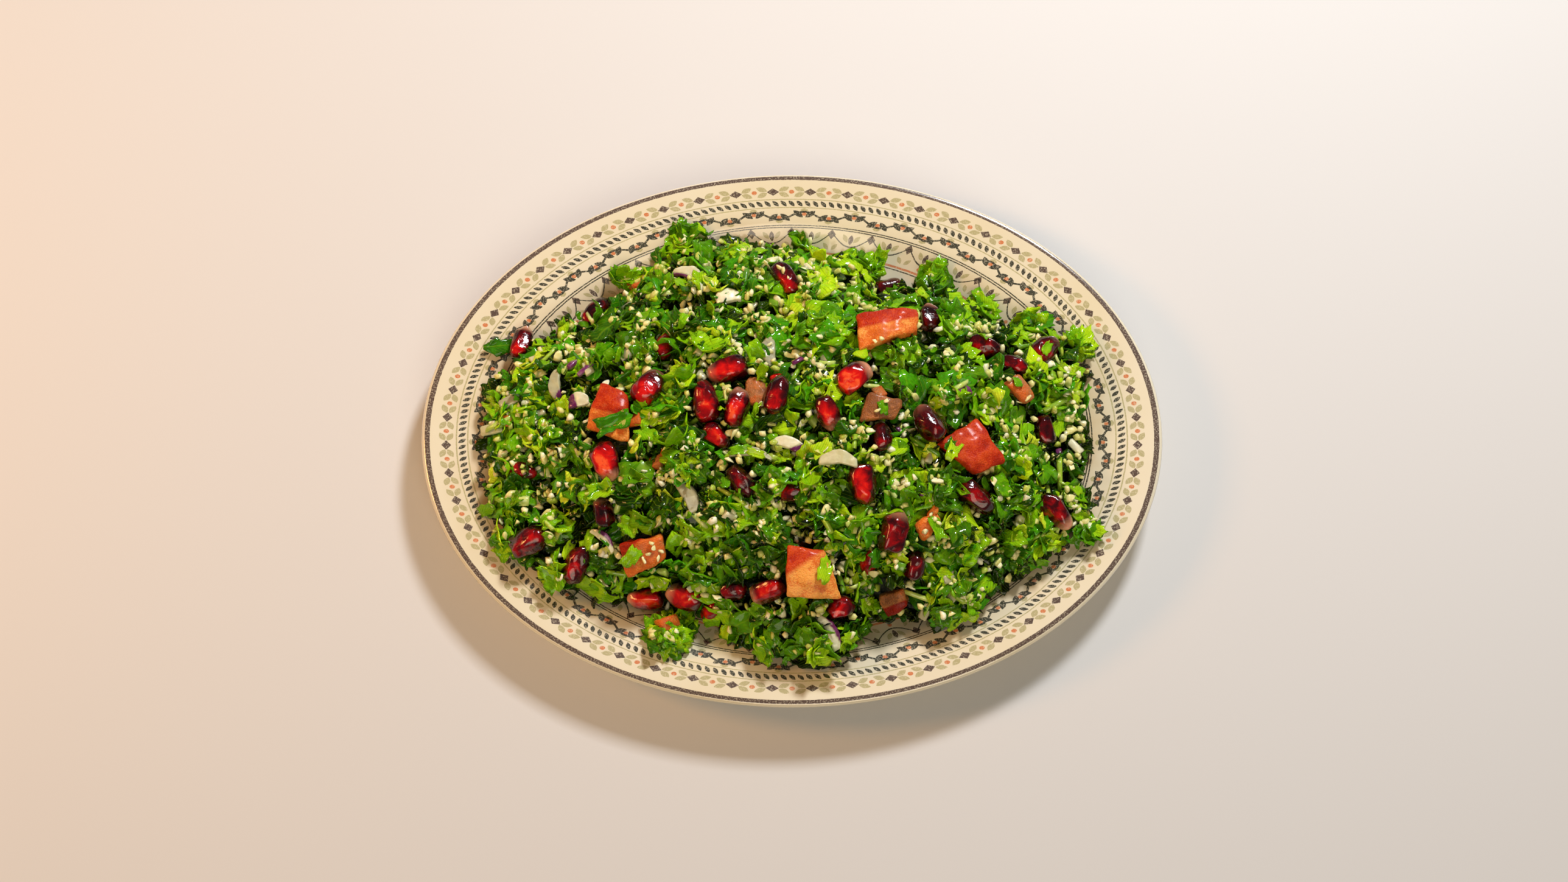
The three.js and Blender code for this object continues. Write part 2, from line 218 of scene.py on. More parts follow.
heapSet = {
    "reach": 97.0,        # mm along X from the middle
    "ratio": 0.74,        # of its reach along Y to that along X
    "middleY": -2.9,      # mm; the heap lies a little nearer the eater than the platter's middle
    "crown": 26.0,        # mm that the dome rises in the middle
    "edge": 4.5,          # mm that it already stands up close to its edge
    "lift": 0.8,          # mm that its outline stands above the platter
    "clumpSpacing": 13.0,
    "clumpHeight": 3.4,   # mm, of the highest
    "creaseEnd": 1.6,     # mm up a clump where the crease beside it ends
    # degrees round the oval, and the share of the reach there
    "outline": [(0, 0.96), (22, 1.02), (40, 0.88), (57, 0.88), (65, 0.79), (78, 0.87), (92, 0.93),
                (108, 0.99), (130, 0.9), (146, 0.94), (162, 1.02), (180, 1), (196, 1.02), (212, 1.02),
                (228, 0.93), (245, 0.83), (256, 0.85), (272, 1), (281, 0.95), (289, 0.81), (299, 0.95),
                (314, 0.93), (337, 1), (352, 0.97)],
}


class StepRandom:
    # the same repeatable numbers that the solids' clumps are placed with
    def __init__(self, seed):
        self.state = seed

    def next(self):
        word = 0xFFFFFFFF
        self.state = (self.state + 0x6D2B79F5) & word
        t = ((self.state ^ (self.state >> 15)) * (1 | self.state)) & word
        t = ((t + (((t ^ (t >> 7)) * (61 | t)) & word)) ^ t) & word
        return ((t ^ (t >> 14)) & word) / 4294967296

    def between(self, low, high):
        return low + (high - low) * self.next()


def makeClumps():
    steps = StepRandom(3)
    clumps = []
    reach, spacing, ratio = heapSet["reach"], heapSet["clumpSpacing"], heapSet["ratio"]
    x = -reach
    while x <= reach:
        y = -reach * ratio
        while y <= reach * ratio:
            cx = x + steps.between(-4, 4)
            cy = heapSet["middleY"] + y + steps.between(-4, 4)
            radius = steps.between(6.5, 9.5)
            clumps.append((cx, cy, radius, steps.between(0.3, 1) * heapSet["clumpHeight"]))
            y += spacing
        x += spacing
    return np.array(clumps)


def outlineCurve():
    # a smooth closed curve through the outline, read back as a share for each whole degree
    degrees = np.array([d for d, share in heapSet["outline"]], float)
    shares = np.array([share for d, share in heapSet["outline"]], float)
    wrapped = np.concatenate([degrees[-3:] - 360, degrees, degrees[:3] + 360])
    values = np.concatenate([shares[-3:], shares, shares[:3]])
    tangents = np.gradient(values, wrapped)
    table = np.zeros(361)
    for whole in range(361):
        k = int(np.searchsorted(wrapped, whole, side="right")) - 1
        span = wrapped[k + 1] - wrapped[k]
        t = (whole - wrapped[k]) / span
        table[whole] = ((2 * t**3 - 3 * t**2 + 1) * values[k] + (t**3 - 2 * t**2 + t) * span * tangents[k]
                        + (3 * t**2 - 2 * t**3) * values[k + 1] + (t**3 - t**2) * span * tangents[k + 1])
    return table


clumps = makeClumps()
outlineTable = outlineCurve()
upperRadii = [r for r, z in platterSet["upper"]]
upperHeights = [z for r, z in platterSet["upper"]]


def reachAt(angle):
    degrees = np.degrees(angle) % 360
    return np.interp(degrees, np.arange(361), outlineTable) * heapSet["reach"]


def platterTop(x, y):
    return np.interp(np.hypot(x, y / platterSet["ratio"]), upperRadii, upperHeights)


def shareFromMiddle(x, y):
    back = (y - heapSet["middleY"]) / heapSet["ratio"]
    return np.hypot(x, back) / reachAt(np.arctan2(back, x))


def clumpRelief(x, y):
    x, y = np.asarray(x, float), np.asarray(y, float)
    relief = np.zeros(x.shape)
    for cx, cy, radius, height in clumps:
        relief = np.maximum(relief, height * (1 - np.minimum(1, np.hypot(x - cx, y - cy) / radius) ** 2))
    return relief


def heapTop(x, y, swell=1.0, crease=0.0):
    # height of the heap's surface; swell lifts the clumps, crease deepens the gaps between them
    share = np.minimum(1, shareFromMiddle(x, y))
    dome = heapSet["crown"] * (1 - share**2.2) ** 0.75
    edge = heapSet["edge"] * (1 - share**8)
    relief = clumpRelief(x, y)
    gap = crease * np.clip(1 - relief / heapSet["creaseEnd"], 0, 1)
    return platterTop(x, y) + dome + edge + (relief * swell - gap) * (1 - share**6) + heapSet["lift"]


def heapNormal(x, y):
    step = 3.0
    slopeX = (heapTop(x + step, y) - heapTop(x - step, y)) / (2 * step)
    slopeY = (heapTop(x, y + step) - heapTop(x, y - step)) / (2 * step)
    normal = np.stack([-slopeX, -slopeY, np.ones_like(slopeX)], axis=-1)
    return normal / np.linalg.norm(normal, axis=-1, keepdims=True)


printSet = {
    "round": 628.0,        # mm round the print at its mean radius of 100
    "wander": 0.25,        # mm that the hand-printed edges waver in all
    "cream": "#E8DFC8",
    "creamWarm": "#DDCDA4",
    "juice": "#C9A468",
    # each ink's colour, and how well it covers the cream
    "inks": {"sage": ("#A39A62", 0.8), "orange": ("#CC6F38", 0.95), "brown": ("#4A3631", 1.0),
             "black": ("#1F241B", 1.0)},
    # plain lines: ink, mm of radius, half width
    "lines": [("brown", 113.1, 0.8), ("sage", 104.3, 0.2), ("sage", 100.9, 0.2), ("black", 93.7, 0.2),
              ("black", 92.9, 0.2), ("orange", 83.5, 0.4), ("black", 82.4, 0.22)],
    # the vine's stem and the swags: mm of radius, half waves, bend, whether all bend one way, half width
    "waves": [(97.6, 76, 1.6, False, 0.42), (91.6, 44, -4.6, True, 0.28)],
    # a motif covers all places where along and side, raised to these powers, add up to less than 1
    "powers": {"leaf": (2, 1), "lozenge": (1, 1), "dot": (2, 2)},
}

# bands of motifs: mm of radius and repeats, then for each motif its ink, its shape, its place as a share of
# the repeat, mm more across and mm up, its half sizes, its turn in degrees, and how its twin is mirrored
printBands = [
    # a chain of lozenges with sprays of leaves, and a dot between them
    (107.4, 56, [
        ("brown", "lozenge", (0, 0, 0), (1.9, 1.5), 0, None),
        ("orange", "dot", (0.5, 0, 0), (0.8, 0.8), 0, "across"),
        ("sage", "leaf", (0, 3.3, 1.15), (1.75, 0.95), 28, "across"),
        ("sage", "leaf", (0, 3.3, -1.15), (1.75, 0.95), -28, "across"),
    ]),
    # a rope of slanted strokes
    (102.6, 250, [("black", "leaf", (0, 0, 0), (1.5, 0.68), 52, None)]),
    # leaves and a berry in each hollow of the vine
    (97.6, 38, [
        ("black", "leaf", (0.25, -2.0, -0.7), (2.1, 1.0), 42, "round"),
        ("black", "leaf", (0.25, 2.0, -0.7), (2.1, 1.0), -42, "round"),
        ("sage", "leaf", (0.25, 0, -2.3), (1.3, 0.7), 0, "round"),
        ("orange", "dot", (0.25, 0, -0.7), (0.75, 0.75), 0, "round"),
    ]),
    # a lozenge where the swags on the slope meet, and a bud and leaves in each
    (91.6, 44, [
        ("brown", "leaf", (0, 0, -1.9), (1.9, 0.9), 90, None),
        ("brown", "lozenge", (0.5, 0, -0.6), (1.5, 1.9), 0, "across"),
        ("sage", "leaf", (0, 2.1, -1.5), (1.7, 0.8), 55, "across"),
        ("sage", "leaf", (0.5, -1.6, -5.2), (1.6, 0.75), -50, "across"),
        ("orange", "dot", (0, 0, -6.3), (0.8, 0.8), 0, None),
    ]),
]


def glazeMaterial():
    # glazed porcelain: a clear glass-smooth coat over a cream body, with the print under the glaze
    material, tree = newMaterial("glazedPorcelain")
    uv = addNode(tree, "UVMap", uv_map="ring")
    around, radius = (addNode(tree, "SeparateXYZ", [uv], out=axis) for axis in "XY")
    place = addNode(tree, "TexCoord", out="Object")
    waver = addNode(tree, "TexNoise", {"Vector": place, "Scale": noiseScale(1.11), "Detail": 2.0})
    wander = printSet["wander"]
    shift = addNode(tree, "Math", [waver, wander, -wander / 2], operation="MULTIPLY_ADD")
    radius = addNode(tree, "Math", [radius, shift], operation="ADD")
    covered = dict.fromkeys(printSet["inks"], 0.0)

    def printMask(ink, mask):
        # adds a mask, 1 inside and 0 outside, to what the ink covers
        covered[ink] = addNode(tree, "Math", [covered[ink], mask], operation="MAXIMUM")

    def printMotif(ink, shape, repeat, across, up, size, turn):
        local = addNode(tree, "Mapping", [repeat, (across, up, 0), (0, 0, math.radians(turn)), (*size, 1)],
                        vector_type="TEXTURE")
        local = addNode(tree, "VectorMath", [local], operation="ABSOLUTE")
        total = 0.0
        for axis, power in zip("XY", printSet["powers"][shape]):
            reach = addNode(tree, "SeparateXYZ", [local], out=axis)
            reach = addNode(tree, "Math", [reach, power], operation="POWER")
            total = addNode(tree, "Math", [total, reach], operation="ADD")
        printMask(ink, addNode(tree, "Math", [total, 1.0], operation="LESS_THAN"))

    for ink, middle, halfWidth in printSet["lines"]:
        printMask(ink, addNode(tree, "Math", [radius, middle, halfWidth], operation="COMPARE"))
    for middle, halfWaves, bend, oneWay, halfWidth in printSet["waves"]:
        wave = addNode(tree, "Math", [around, math.pi * halfWaves], operation="MULTIPLY")
        wave = addNode(tree, "Math", [wave], operation="SINE")
        if oneWay:
            wave = addNode(tree, "Math", [wave], operation="ABSOLUTE")
        wave = addNode(tree, "Math", [wave, bend, middle], operation="MULTIPLY_ADD")
        printMask("black", addNode(tree, "Math", [radius, wave, halfWidth], operation="COMPARE"))
    for middle, repeats, motifs in printBands:
        pitch = printSet["round"] / repeats
        phase = addNode(tree, "Math", [around, repeats], operation="MULTIPLY")
        phase = addNode(tree, "Math", [phase], operation="FRACT")
        across = addNode(tree, "Math", [phase, pitch, -pitch / 2], operation="MULTIPLY_ADD")
        repeat = addNode(tree, "CombineXYZ", [across, radius])
        for ink, shape, (share, more, up), size, turn, twin in motifs:
            aside = share * pitch + more
            printMotif(ink, shape, repeat, aside, middle + up, size, turn)
            if twin == "across":
                printMotif(ink, shape, repeat, -aside, middle + up, size, -turn)
            if twin == "round":
                printMotif(ink, shape, repeat, -aside, middle - up, size, turn)

    # the cream is a little uneven, and lemon juice and oil have tinted it round the salad
    mottle = addNode(tree, "TexNoise", {"Vector": place, "Scale": noiseScale(35.7), "Detail": 3.0})
    warm, pale, stained = (linear(printSet[key]) for key in ("creamWarm", "cream", "juice"))
    colour = addNode(tree, "Mix", {0: mottle, 6: warm, 7: pale}, out=2, data_type="RGBA")
    runs = addNode(tree, "TexNoise", {"Vector": place, "Scale": noiseScale(11.1), "Detail": 3.0})
    pool = addNode(tree, "MapRange", [runs, 0.35, 0.65, 0.3, 1.0])
    juice = addNode(tree, "Attribute", out="Fac", attribute_name="juice")
    juice = addNode(tree, "Math", [juice, pool], operation="MULTIPLY")
    colour = addNode(tree, "Mix", {0: juice, 6: colour, 7: stained}, out=2, data_type="RGBA")
    # the print is thinner in places
    speckle = addNode(tree, "TexNoise", {"Vector": place, "Scale": noiseScale(0.455), "Detail": 1.0})
    density = addNode(tree, "MapRange", [speckle, 0.3, 0.5, 0.55, 0.95])
    for ink, (hexColour, strength) in printSet["inks"].items():
        cover = addNode(tree, "Math", [covered[ink], density], operation="MULTIPLY")
        cover = addNode(tree, "Math", [cover, strength], operation="MULTIPLY")
        colour = addNode(tree, "Mix", {0: cover, 6: colour, 7: linear(hexColour)}, out=2, data_type="RGBA")
    ripple = addNode(tree, "TexNoise", {"Vector": place, "Scale": noiseScale(18.2), "Detail": 2.0})
    bump = addNode(tree, "Bump", {"Height": ripple, "Distance": 0.25 * mm, "Strength": 0.25})
    setShader(tree, Base_Color=colour, Normal=bump, Roughness=0.16, IOR=1.5, Coat_Weight=0.6,
              Coat_Roughness=0.05)
    return material


def smoothProfile(points, steps):
    # Catmull-Rom through the profile's points
    result = []
    for i in range(len(points) - 1):
        a, b, c, d = (Vector(points[max(0, min(len(points) - 1, i + k))]) for k in (-1, 0, 1, 2))
        count = max(1, min(steps, int((c - b).length / 1.6)))
        for k in range(count):
            t = k / count
            result.append(0.5 * ((2 * b) + (c - a) * t + (2 * a - 5 * b + 4 * c - d) * t * t
                                 + (3 * b - 3 * c + d - a) * t**3))
    result.append(Vector(points[-1]))
    return result


def makePlatter():
    profile = smoothProfile(platterSet["upper"], 4) + smoothProfile(platterSet["under"], 3)
    bm = bmesh.new()
    verts = [bm.verts.new((p.x * mm, 0, max(0, p.y) * mm)) for p in profile]
    edges = [bm.edges.new(pair) for pair in zip(verts, verts[1:])]
    bmesh.ops.spin(bm, geom=verts + edges, cent=(0, 0, 0), axis=(0, 0, 1), angle=2 * math.pi,
                   steps=platterSet["steps"], use_merge=True)
    bmesh.ops.remove_doubles(bm, verts=bm.verts, dist=1e-6)
    bmesh.ops.scale(bm, vec=(1, platterSet["ratio"], 1), verts=bm.verts)
    bmesh.ops.recalc_face_normals(bm, faces=bm.faces)
    # ring map: once round is 0 to 1, and the height is the radius in mm; the underside has none
    uvLayer = bm.loops.layers.uv.new("ring")
    topEnd = (platterSet["halfLength"] - 0.2) * mm
    for face in bm.faces:
        middle = face.calc_center_median()
        base = math.atan2(middle.y / platterSet["ratio"], middle.x)
        onTop = face.normal.z > 0 and Vector((middle.x, middle.y / platterSet["ratio"])).length < topEnd
        for loop in face.loops:
            x, y = loop.vert.co.x, loop.vert.co.y / platterSet["ratio"]
            angle = math.atan2(y, x) if x or y else base
            angle += 2 * math.pi * round((base - angle) / (2 * math.pi))
            loop[uvLayer].uv = (angle / (2 * math.pi) + 0.5, math.hypot(x, y) / mm if onTop else 0.0)
    data = newMesh("porcelainPlatter", bm)
    points = readPoints(data) / mm
    # juice has run 12% of the reach out of the salad, fading on its way
    juice = 0.6 * np.clip((1.12 - shareFromMiddle(points[:, 0], points[:, 1])) / 0.14, 0, 1)
    writeValues(data, "juice", juice * (points[:, 2] > platterSet["wellFloor"]))
    newPiece("porcelainPlatter", data, glazeMaterial(), "platter")


makePlatter()
print("stage: platter made")


# small shapes that the salad is made of, each made once
def sourceShape(bm):
    # a finished bmesh as arrays: corners, faces, and a flat map seen from above
    bm.verts.index_update()
    corners = np.array([v.co[:] for v in bm.verts])
    faces = [[v.index for v in f.verts] for f in bm.faces]
    loops = np.array([i for face in faces for i in face], np.int32)
    shape = {
        "corners": corners,
        "loops": loops,
        "sizes": np.array([len(face) for face in faces], np.int32),
        "map": corners[loops][:, :2],
    }
    bm.free()
    return shape


def leafShape(rnd, across, along):
    # a bit of chopped leaf: a sheet of unit size with a toothed edge, creased at the rib and crumpled
    thickness = 0.34 / 6        # of its length
    teeth, curl, fold = rnd.choice((3, 4, 5)), rnd.uniform(-0.6, 0.9), rnd.uniform(0, 0.6)
    phase = [rnd.uniform(0, 6.28) for _ in range(6)]
    cut, seed = rnd.uniform(0, 6.28), rnd.uniform(0, 90)
    bm = bmesh.new()
    bmesh.ops.create_grid(bm, x_segments=along, y_segments=across, size=0.5)
    for vert in bm.verts:
        x, y = vert.co.x, vert.co.y
        angle = math.atan2(y, x)
        square = max(abs(x), abs(y)) / max(1e-6, math.hypot(x, y))
        tooth = 0.12 * math.sin(teeth * angle + phase[0]) + 0.09 * math.sin(2.3 * teeth * angle + phase[1])
        cutSide = 0.24 if math.cos(angle - cut) > 0.6 else 0    # one side is a knife cut
        tooth += rnd.uniform(-0.06, 0.06) - cutSide
        edge = min(1, 2 * max(abs(x), abs(y)))
        scale = (0.45 + 0.55 * square) * (1 + tooth * edge**2)
        x, y = x * scale * 1.25, y * scale * 0.95
        z = fold * abs(y + 0.1 * math.sin(4 * x + phase[4])) + curl * (x * x + 0.6 * y * y)
        z += 0.08 * math.sin(7 * x + phase[2]) * math.cos(6 * y + phase[3])
        z += 0.16 * noise.noise(Vector((3.2 * x, 3.2 * y, seed)))
        vert.co = (x, y, z)
    bmesh.ops.solidify(bm, geom=bm.faces[:], thickness=thickness)
    bmesh.ops.recalc_face_normals(bm, faces=bm.faces)
    return sourceShape(bm)


def grainShape(rnd, detail):
    # a cracked bulgur grain: a lump of unit size with flat broken sides
    bm = bmesh.new()
    bmesh.ops.create_icosphere(bm, subdivisions=detail, radius=0.5)
    for _ in range(7):
        cut = Vector((rnd.gauss(0, 1), rnd.gauss(0, 1), rnd.gauss(0, 1))).normalized()
        depth = rnd.uniform(0.14, 0.34)
        for vert in bm.verts:
            vert.co -= cut * max(0, vert.co.dot(cut) - depth)
    stretch = rnd.uniform(1.05, 1.6), rnd.uniform(0.75, 1.1), rnd.uniform(0.7, 1.0)
    bmesh.ops.scale(bm, vec=stretch, verts=bm.verts)
    bmesh.ops.recalc_face_normals(bm, faces=bm.faces)
    return sourceShape(bm)


def stemShape(rnd):
    # a cut piece of stem of unit length: a slightly bent rod with slanting ends
    bm = bmesh.new()
    bmesh.ops.create_cone(bm, cap_ends=True, segments=8, radius1=0.16, radius2=0.14, depth=1)
    bmesh.ops.rotate(bm, cent=(0, 0, 0), matrix=Matrix.Rotation(math.pi / 2, 3, "Y"), verts=bm.verts)
    lengthwise = [e for e in bm.edges if abs(e.verts[0].co.x - e.verts[1].co.x) > 0.5]
    bmesh.ops.subdivide_edges(bm, edges=lengthwise, cuts=2)
    slant = rnd.uniform(-0.6, 0.6), rnd.uniform(-0.6, 0.6)
    bend = rnd.uniform(-0.25, 0.25)
    for vert in bm.verts:
        x, y, z = vert.co
        if abs(x) > 0.4:
            x += slant[0] * y + slant[1] * z
        vert.co = (x, y + bend * (x * x), z * rnd.uniform(0.9, 1.1))
    bmesh.ops.recalc_face_normals(bm, faces=bm.faces)
    return sourceShape(bm)


def chunkShape(rnd, size):
    # a small cut block with softened edges
    bm = bmesh.new()
    bmesh.ops.create_cube(bm, size=1)
    bmesh.ops.scale(bm, vec=size, verts=bm.verts)
    for vert in bm.verts:
        vert.co += Vector((rnd.uniform(-1, 1), rnd.uniform(-1, 1), rnd.uniform(-1, 1))) * 0.1
    bmesh.ops.bevel(bm, geom=bm.edges[:], offset=0.07, offset_type="OFFSET", segments=1, profile=0.5,
                    affect="EDGES", material=-1)
    bmesh.ops.recalc_face_normals(bm, faces=bm.faces)
    return sourceShape(bm)


def joinCopies(name, shapes, copies):
    # one mesh from many placed copies; each copy is (shape index, 4x4 matrix in mm, tint 0 to 1)
    corners, loops, sizes, maps, tints = [], [], [], [], []
    offset = 0
    for index, matrix, tint in copies:
        shape = shapes[index]
        m = np.array(matrix)
        placed = shape["corners"] @ m[:3, :3].T + m[:3, 3]
        corners.append(placed * mm)
        loops.append(shape["loops"] + offset)
        sizes.append(shape["sizes"])
        maps.append(shape["map"])
        tints.append(np.full(len(placed), tint, np.float32))
        offset += len(placed)
    corners, loops, sizes = np.concatenate(corners), np.concatenate(loops), np.concatenate(sizes)
    data = bpy.data.meshes.new(name)
    data.vertices.add(len(corners))
    data.vertices.foreach_set("co", corners.astype(np.float32).ravel())
    data.loops.add(len(loops))
    data.loops.foreach_set("vertex_index", loops)
    data.polygons.add(len(sizes))
    data.polygons.foreach_set("loop_start", np.concatenate([[0], np.cumsum(sizes)[:-1]]).astype(np.int32))
    data.update(calc_edges=True)
    uvLayer = data.uv_layers.new(name="flatMap")
    uvLayer.data.foreach_set("uv", np.concatenate(maps).astype(np.float32).ravel())
    writeValues(data, "tint", np.concatenate(tints))
    print("  ", name, len(copies), "copies,", int((sizes - 2).sum()), "triangles")
    return data


def strewnPiece(name, shapes, copies, material, nodeName="salad_heap", smooth=True):
    newPiece(name, joinCopies(name, shapes, copies), material, nodeName, smooth)


def placedMatrix(place, normal, yaw, tipX, tipY, scale):
    # lays a shape at a place with its +Z along the normal, then tips it
    up = Vector(normal).normalized()
    along = Vector((math.cos(yaw), math.sin(yaw), 0))
    side = up.cross(along).normalized()
    along = side.cross(up)
    basis = Matrix((along, side, up)).transposed().to_4x4()
    tip = Euler((tipX, tipY, 0)).to_matrix().to_4x4()
    size = Matrix.Diagonal((scale[0], scale[1], scale[2], 1))
    return Matrix.Translation(place) @ basis @ tip @ size


# nothing is strewn through the toppings
toppingNames = sorted(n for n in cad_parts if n.split("_")[0] in ("seed", "tomato", "onion"))


def toppingFrame(name):
    # middle, axes and half sizes of a topping, mm; the first axis is the longest, towards the slimmer end
    points = np.unique(np.round(readPoints(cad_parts[name].data) / mm, 3), axis=0)
    spread = points - points.mean(0)
    axes = np.linalg.eigh(spread.T @ spread)[1][:, ::-1].T
    reach = spread @ axes.T
    if (reach[:, 0] * (reach[:, 1] ** 2 + reach[:, 2] ** 2)).sum() > 0:
        axes[0] = -axes[0]
    reach = spread @ axes.T
    middle = points.mean(0) + ((reach.max(0) + reach.min(0)) / 2) @ axes
    return {"middle": middle, "axes": axes, "half": (reach.max(0) - reach.min(0)) / 2}


toppings = {name: toppingFrame(name) for name in toppingNames}
toppingMiddles = np.array([toppings[n]["middle"] for n in toppingNames])
toppingAxes = np.array([toppings[n]["axes"] for n in toppingNames])
toppingHalves = np.array([toppings[n]["half"] for n in toppingNames])
farthest = 16    # mm; no topping reaches farther from its middle, looked at from above


def insideTopping(point, margin):
    # True where a point lies in a topping grown by the margin
    offset = np.asarray(point) - toppingMiddles
    near = np.hypot(offset[:, 0], offset[:, 1]) < farthest
    for k in np.nonzero(near)[0]:
        local = toppingAxes[k] @ offset[k]
        if np.sum((local / (toppingHalves[k] + margin)) ** 2) < 1:
            return True
    return False


def searchTree(name):
    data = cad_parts[name].data
    return BVHTree.FromPolygons([v.co[:] for v in data.vertices], [p.vertices[:] for p in data.polygons])


toppingTrees = [searchTree(name) for name in toppingNames]


def topAt(x, y):
    # the place and slope straight above (x, y) on whatever lies on top there, y from the heap's middle
    y += heapSet["middleY"]
    best = (Vector((x, y, float(heapTop(x, y)))), Vector(heapNormal(np.array(x), np.array(y))))
    for tree in toppingTrees:
        place, normal, *_ = tree.ray_cast(Vector((x * mm, y * mm, 0.2)), Vector((0, 0, -1)))
        if place and place.z / mm > best[0].z:
            best = (place / mm, normal)
    return best


# the moist mush that the pieces lie in, coloured nearly black as painted shade for the gaps between them
massSet = {
    "below": 4.6,        # mm under the heap's top, so the gaps between pieces are deep
    "crumb": 1.2,        # mm of unevenness
    "crease": 5.0,       # mm deeper between the clumps
    "outermost": 0.94,
}


def mushShadeMaterial():
    # mashed herb and grain in oil and lemon juice, wet; its near-black colour is painted shade for the deep
    # gaps between the pieces
    material, tree = newMaterial("herbMashPaintedShade")
    place = addNode(tree, "TexCoord", out="Object")
    mottle = addNode(tree, "TexNoise",
                     {"Vector": place, "Scale": noiseScale(2.38), "Detail": 4.0, "Roughness": 0.65})
    # near-black greens: painted shade
    colour = addNode(tree, "ValToRGB", [mottle],
                     stops={0.35: "#080F02", 0.55: "#122404", 0.68: "#203C08", 0.8: "#3C5216"})
    bump = addNode(tree, "Bump", {"Height": mottle, "Distance": 0.7 * mm, "Strength": 1.0})
    setShader(tree, Base_Color=colour, Normal=bump, Roughness=0.4, Coat_Weight=0.3, Coat_Roughness=0.15)
    return material


def makeMass(mash):
    bm = bmesh.new()
    bmesh.ops.create_icosphere(bm, subdivisions=6, radius=1)
    points = np.array([v.co[:] for v in bm.verts])
    polar = np.arccos(np.clip(points[:, 2], -1, 1)) / (math.pi / 2)
    share = np.where(polar < 1, polar, 2 - polar) ** 0.85 * massSet["outermost"]
    angle = np.arctan2(points[:, 1], points[:, 0])
    reach = share * reachAt(angle)
    x, y = reach * np.cos(angle), heapSet["middleY"] + reach * np.sin(angle) * heapSet["ratio"]
    under = platterTop(x, y) + 0.3
    top = heapTop(x, y, crease=massSet["crease"]) - massSet["below"]
    rough = [noise.noise(Vector((a * 0.35, b * 0.35, 3))) + 0.6 * noise.noise(Vector((a * 0.9, b * 0.9, 9)))
             for a, b in zip(x, y)]
    top = np.maximum(top + massSet["crumb"] * np.array(rough), under + 0.4)
    z = np.where(polar < 1, top, under)
    for vert, co in zip(bm.verts, np.stack([x, y, z], axis=1) * mm):
        vert.co = co
    bmesh.ops.recalc_face_normals(bm, faces=bm.faces)
    newPiece("herbMash", newMesh("herbMash", bm), mash, "salad_heap")


mashPaintedShade = mushShadeMaterial()
makeMass(mashPaintedShade)
print("stage: salad mass made")

# layers of leaf pieces: how many, mm above the heap's top, mm long, tip in radians, shade from 0 dark to 1
# light, share that is kept in the gaps between clumps, and how far out the pieces lie
leafSet = {
    "deep": {"count": 1250, "depth": (-4.6, -2.4), "size": (6, 11), "tilt": 0.5, "shade": (0.0, 0.35),
             "inGaps": 0.8, "out": 0.975},
    "dark": {"count": 1000, "depth": (-2.4, 0.5), "size": (5, 10.5), "tilt": 0.5, "shade": (0.0, 0.8),
             "inGaps": 0.35, "out": 0.965},
    "mid": {"count": 1100, "depth": (-1.8, 1.1), "size": (5.5, 11), "tilt": 0.4, "shade": (0.0, 1.0),
            "inGaps": 0.15, "out": 0.97},
    "light": {"count": 500, "depth": (-0.6, 1.7), "size": (4.0, 8.6), "tilt": 0.42, "shade": (0.0, 1.0),
              "inGaps": 0.0, "out": 0.95},
    "crumbs": {"count": 1150, "depth": (-1.6, 1.7), "size": (2.0, 4.0), "tilt": 0.8, "shade": (0.0, 1.0),
               "inGaps": 0.3, "out": 0.985},
}

# the material and the colours of each layer, dark to light; the crumbs have the mid one's
greenLooks = {
    # painted shade: the deeper a layer lies, the darker its greens, so deep is painted shade in the heap and
    # its gaps, and dark is partly so
    "deep": ("oiledParsleyShaded", {0.0: "#0A1400", 0.5: "#264200", 1.0: "#4A7402"}),
    "dark": ("oiledParsleyDarkPaintedShade", {0.0: "#143200", 0.4: "#307004", 0.75: "#489E05", 1.0: "#6ABE09"}),
    "mid": ("oiledParsley", {0.0: "#2C5600", 0.35: "#549402", 0.7: "#84BC06", 1.0: "#B6DA12"}),
    # painted light: the top layer's yellower greens are partly painted light and partly real lime leaves
    "light": ("oiledParsleyLimePaintedLight", {0.0: "#4E8202", 0.35: "#82B406", 0.7: "#ACD012", 1.0: "#D4E432"}),
}

# how far the pieces rise on the clumps and sink between them, and the rise where none is left out, mm
strewnSet = {"swell": 1.25, "crease": 2.6, "fullRise": 1.7}
stemSet = {"count": 300, "length": (4.0, 9.5), "thick": (3.6, 6.5), "block": (2.4, 4.4), "depth": (-1.0, 1.4)}
grainSet = {"clusters": 250, "perCluster": (4, 11), "singles": 760, "size": (2.3, 3.8), "depth": (-0.3, 1.9)}
onionBitSet = {"count": 85, "size": (2.4, 5.5), "depth": (-0.6, 1.0)}

